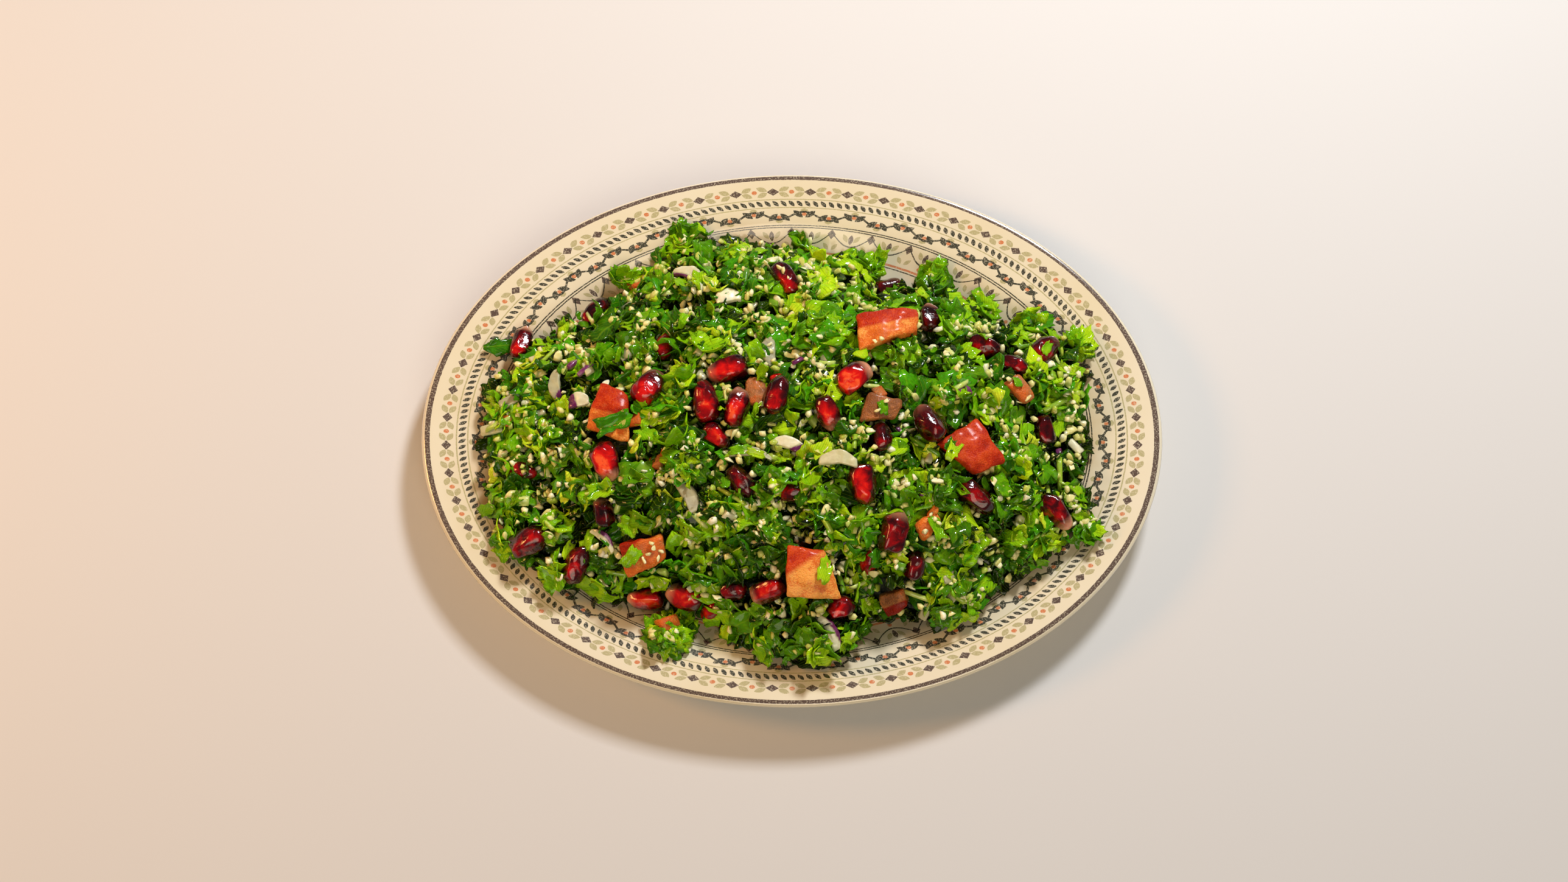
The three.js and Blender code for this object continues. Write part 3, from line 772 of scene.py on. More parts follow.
# small leaves that stand out by themselves: across, back from the heap's middle, mm above what lies
# under, turn, tip along and across in degrees, length, width, and which green
loneLeaves = [
    (-91.5, 31, 0.9, 8, 5, 10, 8.6, 6.2, "dark"), (-61, -45.5, 0.8, 150, -10, 20, 9, 7.5, "light"),
    (-93, -22.6, 0.8, 20, 15, -10, 7, 4.5, "mid"), (-39, 65, 0.8, 60, 30, 20, 8, 4.5, "mid"),
    (-43, 62, 1.2, 110, -30, 10, 8, 4, "dark"), (61, 45, 2.2, 130, 15, 10, 10, 7, "mid"),
    (-52.8, -1.6, 0.5, 18, 4, -4, 9.6, 6.4, "dark"), (48.6, -9, 0.6, 70, 10, 25, 8, 4.6, "light"),
    (49.6, -13, 0.3, 30, -10, 15, 6, 4.4, "mid"), (-12.4, -0.6, 0.5, -10, 10, 20, 6.6, 4.2, "light"),
    (50.5, -20, 0.4, -35, 10, 0, 6.5, 3.2, "mid"), (78.2, 26.4, 0.4, 60, 10, 10, 4.6, 3.2, "mid"),
    (-60.6, -37, 0.4, 20, 10, 10, 4.6, 3.4, "light"), (29, -29, 0.5, 15, 10, 12, 7, 4, "light"),
    (9.6, -46.5, 0.4, 80, 5, 15, 6.4, 5.2, "light"), (-47.5, -41, 0.4, 50, 10, 10, 6, 5, "mid"),
    (27, 2.6, 0.4, 100, 10, 10, 4.2, 3.2, "mid"), (68.5, 13.5, 0.4, 100, 10, 10, 3.6, 3, "mid"),
    (59, 29, 0.4, 100, 10, 10, 5, 3, "mid"), (-44.8, 5.5, 0.4, 100, 10, 10, 4, 3, "mid"),
    (28, 62, 0.8, 75, 20, 10, 8.6, 5, "light"), (47, 57, 2.0, 80, 20, 10, 9, 6, "mid"),
    (77.5, 38, 2.4, 20, 15, 10, 11, 7, "dark"), (90, -28.5, 0.8, 20, 10, 10, 9, 5, "dark"),
    (1, -66.5, 0.6, 20, 10, 10, 7, 5, "mid"), (15.5, -63.5, 0.6, 60, 20, 10, 6, 4.5, "light"),
    (-15.6, -10.6, 0.5, 15, 10, 10, 5.4, 3.4, "mid"), (-11, -11.6, 0.5, -10, 5, 10, 4.6, 2.8, "light"),
    (14.6, -16.4, 0.5, 40, 10, 10, 4.6, 3.6, "mid"), (37.6, -29, 0.6, 30, 15, 10, 7, 4.6, "mid"),
    (42.6, -32.6, 0.6, 110, 10, 15, 6.4, 4.4, "mid"), (44.6, -28.4, 0.6, -20, 10, 10, 5, 3.6, "light"),
    (46.9, -8.4, 0.4, 60, 10, 10, 4.2, 3, "dark"),
]

# loose tufts at the heap's edge: across, back, radius, rise, leaves, grains
tufts = [
    (21.5, 58, 5.5, 4, 24, 4), (-34, 66, 6, 2.5, 16, 7), (-52, 57, 4.5, 3, 10, 9), (46.5, 55.5, 4, 2, 9, 2),
    (60, 45, 5, 2, 9, 3), (76, 37.5, 6, 2.5, 12, 4), (4, 66, 3.5, 1.5, 5, 2), (-20, -55, 5, 2, 8, 4),
    (-6, -63.5, 5, 2, 9, 4), (8, -64, 5.5, 2.5, 12, 6), (-87, -31, 4, 2, 6, 2), (88, 31, 5.5, 2.5, 12, 4),
    (89, -28, 4, 2, 8, 4), (49, -51, 6, 2.5, 12, 5), (-71, -43, 4.5, 2, 7, 3),
]

# single grains that lie on toppings: across and back from the heap's middle
grainsOnToppings = [
    (-42.5, -40), (-41, -38.5), (-40, -41), (-44, -41.5), (-39, -39), (-42, -37), (-2.5, 49.5), (-1, 47),
    (-3.5, 51), (-0.5, 44.5), (27, 24.6), (29.5, 24.2), (25, 23.6), (28, 4.6), (25.5, 1.5), (71.5, 8.5),
    (69.5, 8), (67, 7.5), (66, 14), (-30.5, -51), (12, -43.5), (13.5, -45), (42, -30), (39, -33.5),
    (-8, 13.2), (-9.5, 4), (-20.1, -10.2), (13.7, -19), (41.2, -28.6), (39.6, -33.4), (43, -30.6),
    (25.6, 21.6), (-7.2, 23), (-5.7, 18.2), (-7.9, 16.4), (-6.4, 20.8),
]


def mottledTint(tree, noiseValue, swing, low):
    # each piece's own tint (on the seeds it carries their painted glow), made lighter and darker in spots by
    # a noise
    tint = addNode(tree, "Attribute", out="Fac", attribute_name="tint")
    shift = addNode(tree, "Math", [noiseValue, swing, low], operation="MULTIPLY_ADD")
    return addNode(tree, "Math", [tint, shift], operation="ADD", use_clamp=True)


def greenMaterial(name, stops):
    # wet chopped parsley: saturated green under a film of oil, so small sharp glints on a soft green
    material, tree = newMaterial(name)
    uv = addNode(tree, "UVMap", uv_map="flatMap")
    place = addNode(tree, "TexCoord", out="Object")
    blotch = addNode(tree, "TexNoise", {"Vector": place, "Scale": noiseScale(2.38), "Detail": 3.0})
    base = addNode(tree, "ValToRGB", [mottledTint(tree, blotch, 0.8, -0.4)], stops=stops)
    # veins fork from the rib, about a millimetre apart: 34 radians along a leaf of some 6 mm
    along, aside = (addNode(tree, "SeparateXYZ", [uv], out=axis) for axis in "XY")
    aside = addNode(tree, "Math", [aside], operation="ABSOLUTE")
    wave = addNode(tree, "Math", [aside, -1.3, along], operation="MULTIPLY_ADD")
    wave = addNode(tree, "Math", [wave, 34.0], operation="MULTIPLY")
    wave = addNode(tree, "Math", [wave], operation="SINE")
    rib = addNode(tree, "MapRange", [aside, 0.0, 0.05, 1.0, 0.0])
    veins = addNode(tree, "MapRange", [wave, 0.8, 1.0, 0.0, 1.0])
    lines = addNode(tree, "Math", [rib, veins], operation="MAXIMUM")
    share = addNode(tree, "Math", [lines, 0.25], operation="MULTIPLY")
    colour = addNode(tree, "Mix", {0: share, 6: base, 7: linear("#A2C41E")}, out=2, data_type="RGBA")
    crinkle = addNode(tree, "TexNoise", {"Vector": place, "Scale": noiseScale(1.25), "Detail": 3.0})
    height = addNode(tree, "Math", [lines, 0.3, crinkle], operation="MULTIPLY_ADD")
    bump = addNode(tree, "Bump", {"Height": height, "Distance": 0.5 * mm, "Strength": 0.9})
    setShader(tree, Base_Color=colour, Normal=bump, Roughness=0.5, IOR=1.42, Specular_IOR_Level=0.05,
              Coat_Weight=0.42, Coat_Roughness=0.03, Subsurface_Weight=0.1,
              Subsurface_Radius=(0.8, 1.0, 0.1), Subsurface_Scale=0.6 * mm)
    return material


def foodMaterial(name, stops, spot, depth, wetness, glow):
    # a moist cut piece whose colour runs along the stops by its own tint and a cloudy noise; the clouds are
    # spot mm across and depth mm deep
    material, tree = newMaterial(name)
    place = addNode(tree, "TexCoord", out="Object")
    cloud = addNode(tree, "TexNoise", {"Vector": place, "Scale": noiseScale(spot), "Detail": 3.0})
    colour = addNode(tree, "ValToRGB", [mottledTint(tree, cloud, 0.5, -0.25)], stops=stops)
    bump = addNode(tree, "Bump", {"Height": cloud, "Distance": depth * mm, "Strength": 0.6})
    setShader(tree, Base_Color=colour, Normal=bump, Roughness=0.3, IOR=1.42, Coat_Weight=wetness,
              Coat_Roughness=0.06, Subsurface_Weight=glow, Subsurface_Radius=(1.0, 0.85, 0.5),
              Subsurface_Scale=0.9 * mm)
    return material


def heapPlaces(count, outermost, rnd):
    # places spread evenly over the heap by a jittered grid, as arrays in mm
    reach, ratio, middleY = heapSet["reach"], heapSet["ratio"], heapSet["middleY"]
    step = math.sqrt(math.pi * reach**2 * ratio * 0.87 / count)    # the outline takes up 0.87 of its oval
    spots = []
    y = -reach * ratio * 1.05
    while y < reach * ratio * 1.05:
        x = -reach * 1.05
        while x < reach * 1.05:
            aside, back = rnd.uniform(-0.6, 0.6) * step, rnd.uniform(-0.6, 0.6) * step
            spots.append((x + aside, middleY + y + back))
            x += step
        y += step
    rnd.shuffle(spots)
    spots = np.array(spots)
    return spots[shareFromMiddle(spots[:, 0], spots[:, 1]) < outermost]


def lieOfHeap(places):
    # the strewn surface: height, slope, how far up a clump, and which clump
    x, y = places[:, 0], places[:, 1]
    away = np.hypot(x[:, None] - clumps[:, 0], y[:, None] - clumps[:, 1]) / clumps[:, 2]
    top = heapTop(x, y, strewnSet["swell"], strewnSet["crease"])
    return top, heapNormal(x, y), clumpRelief(x, y), away.argmin(axis=1)


def lonePlace(x, y, above, turn, tipX, tipY, length, width):
    # a single piece laid on whatever is on top at a place; turn and tips in degrees
    place, normal = topAt(x, y)
    turn, tipX, tipY = (math.radians(a) for a in (turn, tipX, tipY))
    return placedMatrix(place + normal * above, normal, turn, tipX, tipY, (length, width, length * 0.8))


def tuftCopies(column, lift, size, shapeCount, rnd):
    # small heaps of leaves or grains round each tuft's middle, higher in its middle
    copies = []
    for tuft in tufts:
        x, y, radius, rise = tuft[:4]
        for _ in range(tuft[column]):
            out, way = rnd.random() ** 0.6, rnd.uniform(0, 6.28)
            above = 0.8 + rise * (1 - out) * rnd.uniform(0.4, 1) + lift
            length, turn = rnd.uniform(*size), rnd.uniform(0, 360)
            tipX, tipY = rnd.gauss(0, 22), rnd.gauss(0, 22)
            matrix = lonePlace(x + radius * out * math.cos(way), y + radius * out * math.sin(way), above,
                               turn, tipX, tipY, length, length * 0.8)
            copies.append((rnd.randrange(shapeCount), matrix, rnd.uniform(0.1, 1)))
    return copies


def strewLeaves(layer, shapes, rnd, clumpShades):
    spec = leafSet[layer]
    places = heapPlaces(spec["count"], spec["out"], rnd)
    shrink = 1 - 0.35 * shareFromMiddle(places[:, 0], places[:, 1]) ** 8    # smaller bits at the heap's edge
    copies = []
    for (x, y), less, top, normal, rise, clump in zip(places, shrink, *lieOfHeap(places)):
        if rnd.random() > spec["inGaps"] + rise / strewnSet["fullRise"]:
            continue
        size = less * rnd.uniform(*spec["size"])
        z = max(top + rnd.uniform(*spec["depth"]), platterTop(x, y) + 0.5 + 0.12 * size)
        if insideTopping((x, y, z), 0.25 * size):
            continue
        low, high = spec["shade"]
        shade = low + (high - low) * min(1, max(0, rnd.random() + clumpShades[clump]))
        matrix = placedMatrix((x, y, z), normal, rnd.uniform(0, 6.28), rnd.gauss(0, spec["tilt"]),
                              rnd.gauss(0, spec["tilt"]), (size, size * rnd.uniform(0.6, 1.0), size))
        copies.append((rnd.randrange(len(shapes)), matrix, shade))
    return copies


def makeLeaves():
    rnd = random.Random(5)
    large = [leafShape(rnd, 5, 6) for _ in range(12)]
    small = [leafShape(rnd, 3, 3) for _ in range(8)]
    clumpShades = [rnd.uniform(-0.3, 0.25) for _ in clumps]
    greens = {layer: greenMaterial(*look) for layer, look in greenLooks.items()}
    for layer in leafSet:
        shapes = small if layer == "crumbs" else large
        copies = strewLeaves(layer, shapes, rnd, clumpShades)
        copies += [(k % len(large), lonePlace(*leaf[:8]), 0.35 + 0.1 * (k % 4))
                   for k, leaf in enumerate(loneLeaves) if leaf[8] == layer]
        if layer == "mid":
            copies += tuftCopies(4, 0.3, (4.5, 8.5), len(large), rnd)
        strewnPiece("parsley" + layer.capitalize(), shapes, copies, greens.get(layer, greens["mid"]))
    return large, greens


def strewBits(shapes, places, rnd, depth, clear, size, tip, thick=None):
    # bits as long as size says, and as thick as thick says or else in proportion
    copies = []
    for (x, y), top, normal, *_ in zip(places, *lieOfHeap(places)):
        z = max(top + rnd.uniform(*depth), platterTop(x, y) + 0.9)
        if insideTopping((x, y, z), clear):
            continue
        yaw, tipX, tipY = rnd.uniform(0, 6.28), rnd.uniform(-tip, tip), rnd.uniform(-tip, tip)
        across = rnd.uniform(*thick) if thick else None
        length = rnd.uniform(*size)
        scale = (length, across or length, across or length)
        matrix = placedMatrix((x, y, z), normal, yaw, tipX, tipY, scale)
        copies.append((rnd.randrange(len(shapes)), matrix, rnd.random()))
    return copies


def makeStems():
    # cut stem and spring onion: pale yellow-green and juicy
    stops = {0.0: "#4A8412", 0.35: "#84AC22", 0.7: "#AEC63E", 1.0: "#D6DC86"}
    material = foodMaterial("cutHerbStem", stops, 1.11, 0.2, 0.7, 0.3)
    rnd = random.Random(8)
    rods = [stemShape(rnd) for _ in range(6)]
    blocks = [chunkShape(rnd, (1, 0.8, 0.5)) for _ in range(4)]
    places = heapPlaces(stemSet["count"], 0.96, rnd)
    part = len(places) * 3 // 4
    copies = strewBits(rods, places[:part], rnd, stemSet["depth"], 1.6, stemSet["length"], 0.5,
                       stemSet["thick"])
    copies += [(k + len(rods), matrix, shade) for k, matrix, shade in
               strewBits(blocks, places[part:], rnd, stemSet["depth"], 1.6, stemSet["block"], 0.6)]
    strewnPiece("parsleyStems", rods + blocks, copies, material)


def makeGrains(material):
    rnd = random.Random(13)
    shapes = [grainShape(rnd, 2 if k < 4 else 1) for k in range(12)]
    spots = list(heapPlaces(grainSet["singles"], 0.975, rnd))
    for x, y in heapPlaces(grainSet["clusters"], 0.955, rnd):
        number = rnd.randint(*grainSet["perCluster"])
        spread = 0.6 * math.sqrt(number) + 0.2
        spots += [(x + rnd.gauss(0, spread), y + rnd.gauss(0, spread)) for _ in range(number)]
    spots = np.array(spots)
    spots = spots[shareFromMiddle(spots[:, 0], spots[:, 1]) < 1]
    copies = strewBits(shapes, spots, rnd, grainSet["depth"], 0.9, grainSet["size"], 1.5)
    copies += [(k % len(shapes), lonePlace(x, y, 0.6, 40 * k, 20, 30, 2.1, 2.1), 0.7)
               for k, (x, y) in enumerate(grainsOnToppings)]
    copies += tuftCopies(5, 0.9, grainSet["size"], len(shapes), rnd)
    strewnPiece("bulgurGrains", shapes, copies, material, smooth=False)
    return shapes


# slivers of red onion: across, back, turn, length, width, shade (0 violet, 1 white)
violetStrips = [
    (1.7, 18.2, 40, 4, 2.4, 0.02), (-66.5, 21.2, 70, 7, 3.4, 0.12), (-62.9, 18.1, 50, 6, 3, 0.15),
    (-86, 10.4, 30, 8, 6, 0.4), (-92, 2, 10, 7, 6, 0.7), (-29, -47, 40, 5, 4, 0.8), (47, -45, 20, 6, 5, 0.6),
]
# crumbs of tomato: across, back, size, ripeness
tomatoCrumbs = [
    (-87.8, 4.2, 4, 0.8), (-50.7, 53.9, 6, 0.75), (-48.5, 51, 4, 0.5), (-40.6, -12.7, 5, 0.35),
    (-37.5, -11.5, 4, 0.55), (42.5, -27, 4.6, 0.9), (20, 57, 4.4, 0.3), (-33.5, -58.5, 4, 0.8),
    (26, 8, 4, 0.3), (-47, 0, 4.2, 0.6),
]


def makeBits(onionMaterial, tomatoMaterial):
    rnd = random.Random(17)
    blocks = [chunkShape(rnd, (1, 0.55, 0.35)) for _ in range(5)]
    places = heapPlaces(onionBitSet["count"], 0.95, rnd)
    copies = strewBits(blocks, places, rnd, onionBitSet["depth"], 1.4, onionBitSet["size"], 0.6)
    # one bit in seven is violet, and the others are white
    copies = [(k, matrix, 0.06 if shade < 0.14 else 0.3 + 0.7 * shade) for k, matrix, shade in copies]
    copies += [(0, lonePlace(x, y, 0.7, turn, 10, 20, length, width), shade)
               for x, y, turn, length, width, shade in violetStrips]
    strewnPiece("onionBits", blocks, copies, onionMaterial)
    crumbs = [chunkShape(rnd, (1, 0.8, 0.6)) for _ in range(4)]
    copies = [(k % len(crumbs), lonePlace(x, y, 0.8, 60 * k, 15, 20, size, size), ripe)
              for k, (x, y, size, ripe) in enumerate(tomatoCrumbs)]
    strewnPiece("tomatoCrumbs", crumbs, copies, tomatoMaterial)


leafShapes, greens = makeLeaves()
makeStems()
# soaked bulgur: cream, moist, a little see-through; some of it is stained green
bulgur = foodMaterial("soakedBulgur", {0.0: "#A8BC38", 0.2: "#CED068", 0.5: "#E8DC8E", 0.82: "#F4EAB0",
                                       1.0: "#FAF4D0"}, 1.43, 0.2, 0.25, 0.3)
grainShapes = makeGrains(bulgur)
print("stage: leaves, stems and grains made")

# pomegranate seeds, tomato and onion, each over its own solid
seedSet = {
    "plump": (1.0, 1.14, 1.08),            # along and across, of the solid's size
    "flats": (0.3, 1.7, 3.0, 4.4, 5.3),    # radians round the seed, where others pressed it flat
    "flatAt": (0.66, 0.82),                # share of the half size that a flat leaves
    "flatness": 0.7,
    "dents": 0.09,
    # painted light: a glow and dark rims are painted into each seed's colour, facing this fixed way
    "paintedGlowSide": (-0.12, -0.4, 0.9),        # the way that the glowing side faces
    "paintedGlowFall": 2.5,                       # the higher, the smaller the glow
}
tomatoSet = {"edge": 1.1, "longest": 1.2, "wobble": 0.7}     # mm
onionSet = {"edge": 0.4, "longest": 0.9, "wobble": 0.65}

# how brightly each seed's painted glow shows, and how pale its slim end is
seedGlowAndTip = {
    "01": (0.85, 0.2), "02": (0.95, 0.9), "03": (0.75, 0.4), "04": (0.65, 0), "05": (0.95, 0.5),
    "06": (0.45, 0), "07": (0.8, 0), "08": (0.65, 0.4), "09": (0.95, 1), "10": (0.85, 0), "11": (0.35, 0.2),
    "12": (0.3, 0), "13": (0.45, 0.9), "14": (0.5, 0), "15": (0.65, 0.2), "16": (0.5, 0), "17": (0.3, 0),
    "18": (0.2, 0.5), "19": (0.3, 0), "20": (0.4, 0.5), "21": (0.6, 0), "22": (0.75, 0.8), "23": (0.35, 0),
    "24": (0.95, 0.9), "25": (0.85, 0.8), "26": (0.25, 0), "27": (0.7, 1), "28": (0.6, 0), "29": (0.5, 0),
    "30": (0.45, 0), "31": (0.1, 0.5), "32": (0.3, 0), "33": (0.3, 0), "34": (0.2, 0),
}

# seeds that the leaves nearly cover: across, back from the heap's middle, turn, length
sunkenSeeds = [(-82, -12.5, -10, 10), (0, -22, 10, 10), (-39, 25, 80, 10), (23, -41, 70, 9),
               (-24.5, -53.5, 60, 9), (-4.5, 12.8, 12, 5)]

# each tomato piece: the way its red skin faces, where the skin starts (-1 to 1 that way, 2 for none), and
# ripeness of the flesh
tomatoLooks = {
    "01": ((0.35, 0.94, 0), -0.15, 0.75), "02": ((-0.2, 0.95, 0.2), 0.25, 0.75), "03": ((0, 0, 1), -1.5, 0.8),
    "04": ((-0.55, 0.83, 0), 0.3, 0.95), "05": ((-0.6, 0.8, 0), 0.35, 0.6), "06": ((0, 1, 0), 2, 0.18),
    "07": ((0, 1, 0), 2, 0.12), "08": ((0, 1, 0), 2, 0.35), "09": ((0, 1, 0), 0.9, 0.75),
    "10": ((0.3, -0.9, 0), 0.3, 0.2),
}

# each onion slice: the way its violet skin faces, where the violet starts, and shade of its flesh
onionLooks = {
    "01": ((0.35, -0.93), 0.0, 0.95), "02": ((0, -1), 2, 0.62), "03": ((0, 1), 2, 0.75),
    "04": ((0, 1), 2, 0.35), "05": ((-0.9, -0.3), 0.1, 0.85), "06": ((0.8, -0.5), 0.3, 0.45),
    "07": ((0, 1), 2, 0.4), "08": ((0.7, 0.7), 0.1, 0.7), "09": ((0.8, 0.5), 0.3, 0.9),
    "10": ((-0.4, -0.9), 0.2, 0.85), "11": ((0, 1), 2, 1.0),
}


def meltedCopy(name):
    # a solid's corners merged into one skin, in metres
    bm = bmesh.new()
    bm.from_mesh(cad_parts[name].data)
    bmesh.ops.remove_doubles(bm, verts=bm.verts, dist=1e-6)
    return bm


def roundedCopy(name, levels):
    # Catmull-Clark over the merged solid, and its points in the topping's own axes at its full size
    holder = bpy.data.objects.new("holder", newMesh("rough", meltedCopy(name)))
    scene.collection.objects.link(holder)
    modifier = holder.modifiers.new("round", "SUBSURF")
    modifier.levels = modifier.render_levels = levels
    data = bpy.data.meshes.new_from_object(holder.evaluated_get(bpy.context.evaluated_depsgraph_get()))
    bpy.data.objects.remove(holder)
    shape = toppings[name]
    local = (readPoints(data) / mm - shape["middle"]) @ shape["axes"].T
    local -= (local.max(0) + local.min(0)) / 2
    local *= shape["half"] / local.max(0)
    return data, local


def placeLocal(data, local, shape):
    points = local @ shape["axes"] + shape["middle"]
    data.vertices.foreach_set("co", (points * mm).astype(np.float32).ravel())
    data.update()


def jellyMaterial():
    # pomegranate seed: clear red jelly round a pale kernel, with hard glints; its dark rims and glowing
    # middle are painted shade and painted light in the colour
    material, tree = newMaterial("pomegranateJelly")
    place = addNode(tree, "TexCoord", out="Object")
    veil = addNode(tree, "TexNoise",
                   {"Vector": place, "Scale": noiseScale(3.03), "Detail": 3.0, "Distortion": 0.6})
    red = addNode(tree, "ValToRGB", [mottledTint(tree, veil, 1.3, -0.65)],
                  stops={0.0: "#1C0003", 0.28: "#4E0005", 0.55: "#A00107", 0.82: "#D8140C", 1.0: "#F05A2A"})
    tip = addNode(tree, "Attribute", out="Fac", attribute_name="tip")
    colour = addNode(tree, "Mix", {0: tip, 6: red, 7: linear("#E8A07A")}, out=2, data_type="RGBA")
    bump = addNode(tree, "Bump", {"Height": veil, "Distance": 0.8 * mm, "Strength": 0.7})
    setShader(tree, Base_Color=colour, Normal=bump, Roughness=0.15, IOR=1.38, Specular_IOR_Level=0.3,
              Coat_Weight=0.8, Coat_Roughness=0.03, Subsurface_Weight=0.35,
              Subsurface_Radius=(1.0, 0.12, 0.08), Subsurface_Scale=2 * mm)
    return material


def makeSeed(name, material):
    number = name.split("_")[1]
    shape, rnd = toppings[name], random.Random(number)
    paintedGlowStrength, pale = seedGlowAndTip[number]
    data, local = roundedCopy(name, 3)
    ball = local / shape["half"]
    # flat sides where the seeds were pressed together in the fruit
    for turn in seedSet["flats"]:
        turn += rnd.uniform(-0.4, 0.4)
        side = np.array([rnd.uniform(-0.4, 0.4), math.cos(turn), math.sin(turn)])
        side /= np.linalg.norm(side)
        over = np.maximum(0, ball @ side - rnd.uniform(*seedSet["flatAt"]))
        ball -= over[:, None] * side * seedSet["flatness"]
    ball *= 1 / np.abs(ball).max(0)
    dents = np.array([noise.noise(Vector(p * 1.6 + np.array([float(number), 0, 0]))) for p in ball])
    ball *= (1.03 + seedSet["dents"] * dents)[:, None]
    placeLocal(data, ball * shape["half"] * seedSet["plump"], shape)
    # painted light: light from the window would gather on the far side of the jelly, towards the eater, so
    # the colour is painted to glow there and darken at the rims
    facing = np.array([v.normal[:] for v in data.vertices])
    facing += 1.2 * (ball / np.linalg.norm(ball, axis=1, keepdims=True)) @ shape["axes"]
    facing /= np.linalg.norm(facing, axis=1, keepdims=True)
    toward = np.array(seedSet["paintedGlowSide"])
    paintedLight = np.clip(facing @ (toward / np.linalg.norm(toward)), 0, 1)
    # the tint carries the painted glow, and painted shade at the rims
    writeValues(data, "tint", np.clip(0.04 + paintedGlowStrength * paintedLight**seedSet["paintedGlowFall"], 0, 1))
    writeValues(data, "tip", np.clip((ball[:, 0] - 0.45) / 0.5, 0, 1) * pale)
    newPiece("pomegranateSeed" + number, data, material, name)


def makeSunkenSeeds(material):
    bm = bmesh.new()
    bmesh.ops.create_icosphere(bm, subdivisions=3, radius=0.5)
    for vert in bm.verts:
        slim = 0.68 * (1 - 0.5 * max(0, vert.co.x))
        vert.co.y *= slim
        vert.co.z *= slim
    copies = [(0, lonePlace(x, y, 0.4, turn, 0, 0, length, length * 0.9), 0.35 + 0.06 * k)
              for k, (x, y, turn, length) in enumerate(sunkenSeeds)]
    strewnPiece("sunkenSeeds", [sourceShape(bm)], copies, material)


def fleshMaterial():
    # ripe diced tomato: wet orange flesh that glistens, with a taut red skin on one side
    material, tree = newMaterial("dicedTomato")
    place = addNode(tree, "TexCoord", out="Object")
    cloud = addNode(tree, "TexNoise",
                    {"Vector": place, "Scale": noiseScale(4.35), "Detail": 4.0, "Roughness": 0.6})
    grit = addNode(tree, "TexNoise", {"Vector": place, "Scale": noiseScale(0.417), "Detail": 1.0})
    mixed = addNode(tree, "Math", [grit, 0.35, cloud], operation="MULTIPLY_ADD")
    level = mottledTint(tree, mixed, 1.5, -1.0)
    flesh = addNode(tree, "ValToRGB", [level],
                    stops={0.0: "#84502C", 0.3: "#B4703C", 0.5: "#C66024", 0.75: "#DA6C20", 1.0: "#F0A44C"})
    red = addNode(tree, "ValToRGB", [level],
                  stops={0.0: "#661406", 0.4: "#921C06", 0.75: "#B42A07", 1.0: "#CE4816"})
    skin = addNode(tree, "Attribute", out="Fac", attribute_name="skin")
    edge = addNode(tree, "Math", [cloud, 0.9, -0.45], operation="MULTIPLY_ADD")
    edge = addNode(tree, "Math", [skin, edge], operation="ADD")
    edge = addNode(tree, "MapRange", [edge, 0.3, 0.75])
    colour = addNode(tree, "Mix", {0: edge, 6: flesh, 7: red}, out=2, data_type="RGBA")
    bump = addNode(tree, "Bump", {"Height": mixed, "Distance": 0.9 * mm, "Strength": 0.9})
    setShader(tree, Base_Color=colour, Normal=bump, Roughness=0.42, IOR=1.4, Specular_IOR_Level=0.18,
              Coat_Weight=0.13, Coat_Roughness=0.16, Subsurface_Weight=0.25,
              Subsurface_Radius=(1.0, 0.3, 0.12), Subsurface_Scale=1.8 * mm)
    return material


def softenedCopy(name, edge, longest, wobble):
    # the merged solid with rounded edges and a slightly uneven skin
    bm = meltedCopy(name)
    sharp = [e for e in bm.edges if e.calc_face_angle(0) > 0.6]
    bmesh.ops.bevel(bm, geom=sharp, offset=edge * mm, offset_type="OFFSET", segments=3, profile=0.5,
                    affect="EDGES", material=-1)
    for _ in range(2):
        bmesh.ops.triangulate(bm, faces=bm.faces)
        long = [e for e in bm.edges if e.calc_length() > longest * mm]
        bmesh.ops.subdivide_edges(bm, edges=long, cuts=1)
    bmesh.ops.triangulate(bm, faces=bm.faces)
    bmesh.ops.smooth_vert(bm, verts=bm.verts, factor=0.5, use_axis_x=True, use_axis_y=True,
                          use_axis_z=True)
    bm.normal_update()
    for vert in bm.verts:
        p = vert.co / mm
        vert.co += vert.normal * (noise.noise(p * 0.22) + 0.4 * noise.noise(p * 0.7)) * wobble * mm
    bmesh.ops.recalc_face_normals(bm, faces=bm.faces)
    return newMesh(name, bm)


def alongWay(data, way):
    # -1 to 1 along a direction, over the piece's own reach
    way = np.array(way) / np.linalg.norm(way)
    reach = readPoints(data)[:, :len(way)] @ way
    return 2 * (reach - reach.min()) / (reach.max() - reach.min()) - 1


def makeTomato(name, material):
    number = name.split("_")[1]
    way, start, ripe = tomatoLooks[number]
    data = softenedCopy(name, **tomatoSet)
    writeValues(data, "skin", np.clip((alongWay(data, way) - start) / 0.3 + 0.5, 0, 1))
    writeValues(data, "tint", np.full(len(data.vertices), ripe))
    newPiece("tomatoPiece" + number, data, material, name)


def makeOnion(name, material):
    number = name.split("_")[1]
    way, start, body = onionLooks[number]
    data = softenedCopy(name, **onionSet)
    violet = np.clip((alongWay(data, way) - start) / 0.1, 0, 1)
    writeValues(data, "tint", body * (1 - violet) + 0.03 * violet)
    newPiece("onionSlice" + number, data, material, name)


jelly = jellyMaterial()
flesh = fleshMaterial()
# raw onion: milky, moist, violet only where its skin is
rawOnion = foodMaterial("rawRedOnion", {0.0: "#5C0E44", 0.13: "#7C3868", 0.26: "#9C9676", 0.7: "#CAC494",
                                        1.0: "#E8E2C0"}, 2.0, 0.3, 0.7, 0.35)
for toppingName in toppingNames:
    if toppingName.startswith("seed"):
        makeSeed(toppingName, jelly)
    elif toppingName.startswith("tomato"):
        makeTomato(toppingName, flesh)
    else:
        makeOnion(toppingName, rawOnion)
makeSunkenSeeds(jelly)
makeBits(rawOnion, flesh)
print("stage: seeds, tomato and onion made")

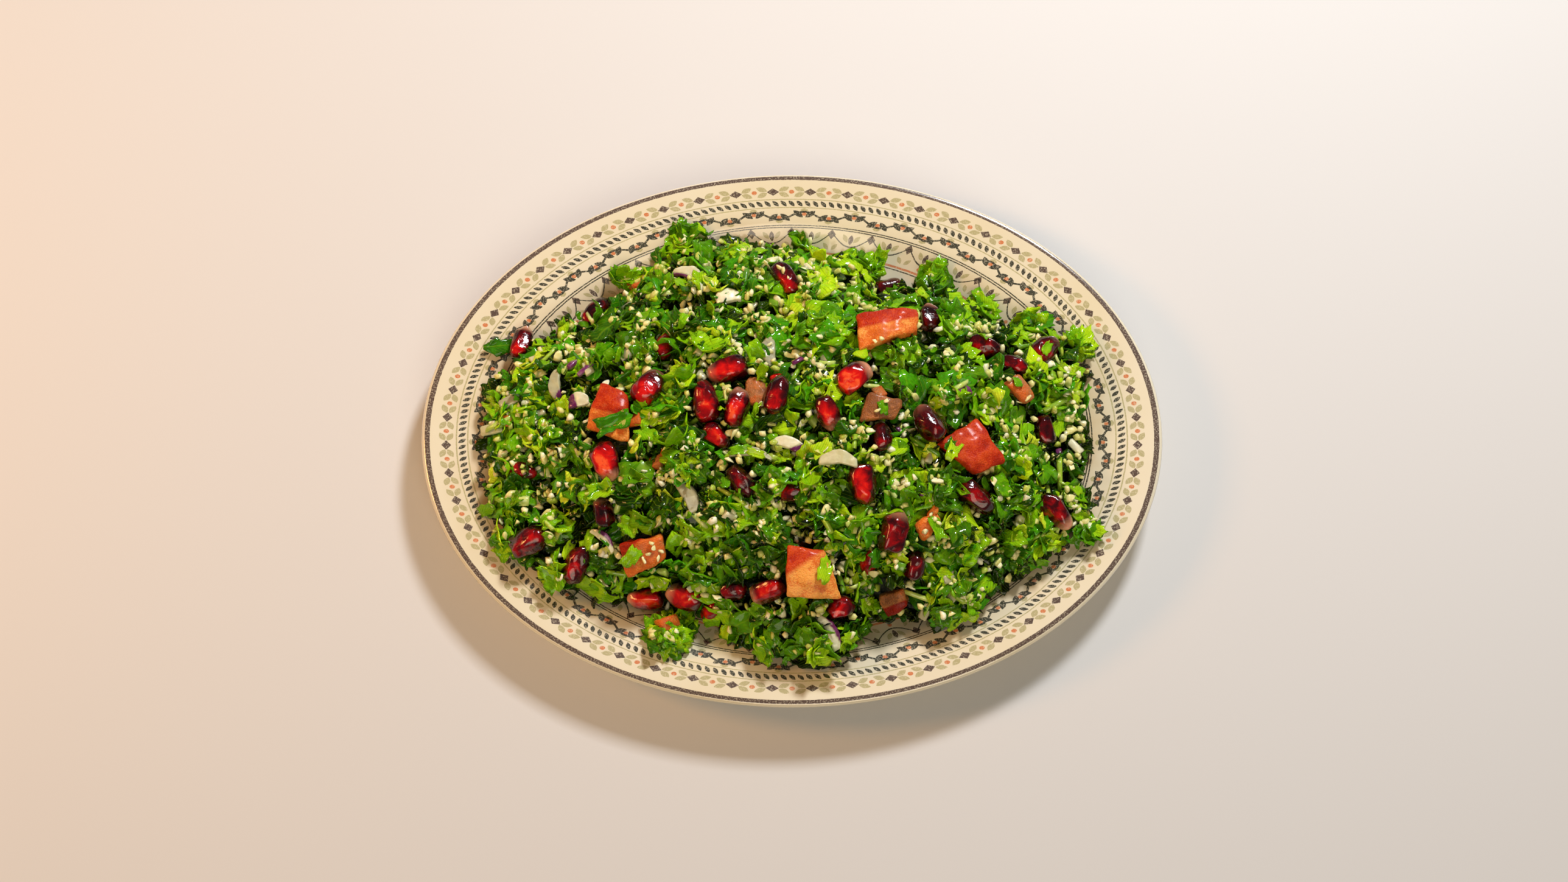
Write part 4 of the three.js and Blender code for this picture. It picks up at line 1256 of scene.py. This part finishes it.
# the small clump on the near left rim, mm
clumpSet = {
    "middle": (-37.0, -63.5),
    "radius": 7.4,
    "height": 5.0,
    "mash": (0.7, 0.55),      # share of the radius that the mash reaches, across and back
    "strewn": (0.8, 0.62),    # and the loose pieces
    "leaves": 34,
    "leafSize": (5, 8.5),
    "grains": 24,
}


def makeClump(mash):
    x0, y0 = clumpSet["middle"]
    radius, height = clumpSet["radius"], clumpSet["height"]
    across, back = clumpSet["mash"]
    bm = bmesh.new()
    bmesh.ops.create_icosphere(bm, subdivisions=4, radius=1)
    for vert in bm.verts:
        x, y = x0 + vert.co.x * radius * across, y0 + vert.co.y * radius * back
        z = float(platterTop(x, y)) + 0.3 + max(0, vert.co.z) * height * 0.5
        vert.co = Vector((x, y, z + 0.3 * noise.noise(Vector((x, y, z))))) * mm
    bmesh.ops.recalc_face_normals(bm, faces=bm.faces)
    newPiece("clumpMash", newMesh("clumpMash", bm), mash, "salad_clump")
    rnd = random.Random(31)
    across, back = clumpSet["strewn"]
    leafCopies, grainCopies = [], []
    for number in range(clumpSet["leaves"] + clumpSet["grains"]):
        turn, out = rnd.uniform(0, 6.28), math.sqrt(rnd.random())
        x = x0 + radius * across * out * math.cos(turn)
        y = y0 + radius * back * out * math.sin(turn)
        rise = height * math.sqrt(max(0, 1 - out * out))
        normal = Vector((math.cos(turn) * out * 0.6, math.sin(turn) * out * 0.6, 1))
        size = rnd.uniform(*clumpSet["leafSize"])
        z = float(platterTop(x, y)) + 1.2 + rise * rnd.uniform(0.45, 0.9)
        if number < clumpSet["leaves"]:
            yaw, tipX, tipY = rnd.uniform(0, 6.28), rnd.gauss(0, 0.3), rnd.gauss(0, 0.3)
            matrix = placedMatrix((x, y, z), normal, yaw, tipX, tipY, (size, size * 0.8, size))
            leafCopies.append((rnd.randrange(len(leafShapes)), matrix, rnd.random()))
        else:
            size = rnd.uniform(*grainSet["size"])
            yaw, tipX, tipY = rnd.uniform(0, 6.28), rnd.uniform(-1, 1), rnd.uniform(-1, 1)
            matrix = placedMatrix((x, y, z + 0.7), normal, yaw, tipX, tipY, (size, size, size))
            grainCopies.append((rnd.randrange(len(grainShapes)), matrix, rnd.uniform(0.3, 1)))
    bit = chunkShape(rnd, (1, 0.8, 0.6))
    onTop = (x0 - 0.5, y0 + 2.5, float(platterTop(x0, y0)) + height)
    bitCopies = [(0, placedMatrix(onTop, (0, 0, 1), 0.4, 0.2, 0.3, (6.5, 6, 6)), 0.6)]
    strewnPiece("clumpLeaves", leafShapes, leafCopies, greens["mid"], "salad_clump")
    strewnPiece("clumpGrains", grainShapes, grainCopies, bulgur, "salad_clump", smooth=False)
    strewnPiece("clumpTomato", [bit], bitCopies, flesh, "salad_clump")


makeClump(mashPaintedShade)
print("stage: small clump made")
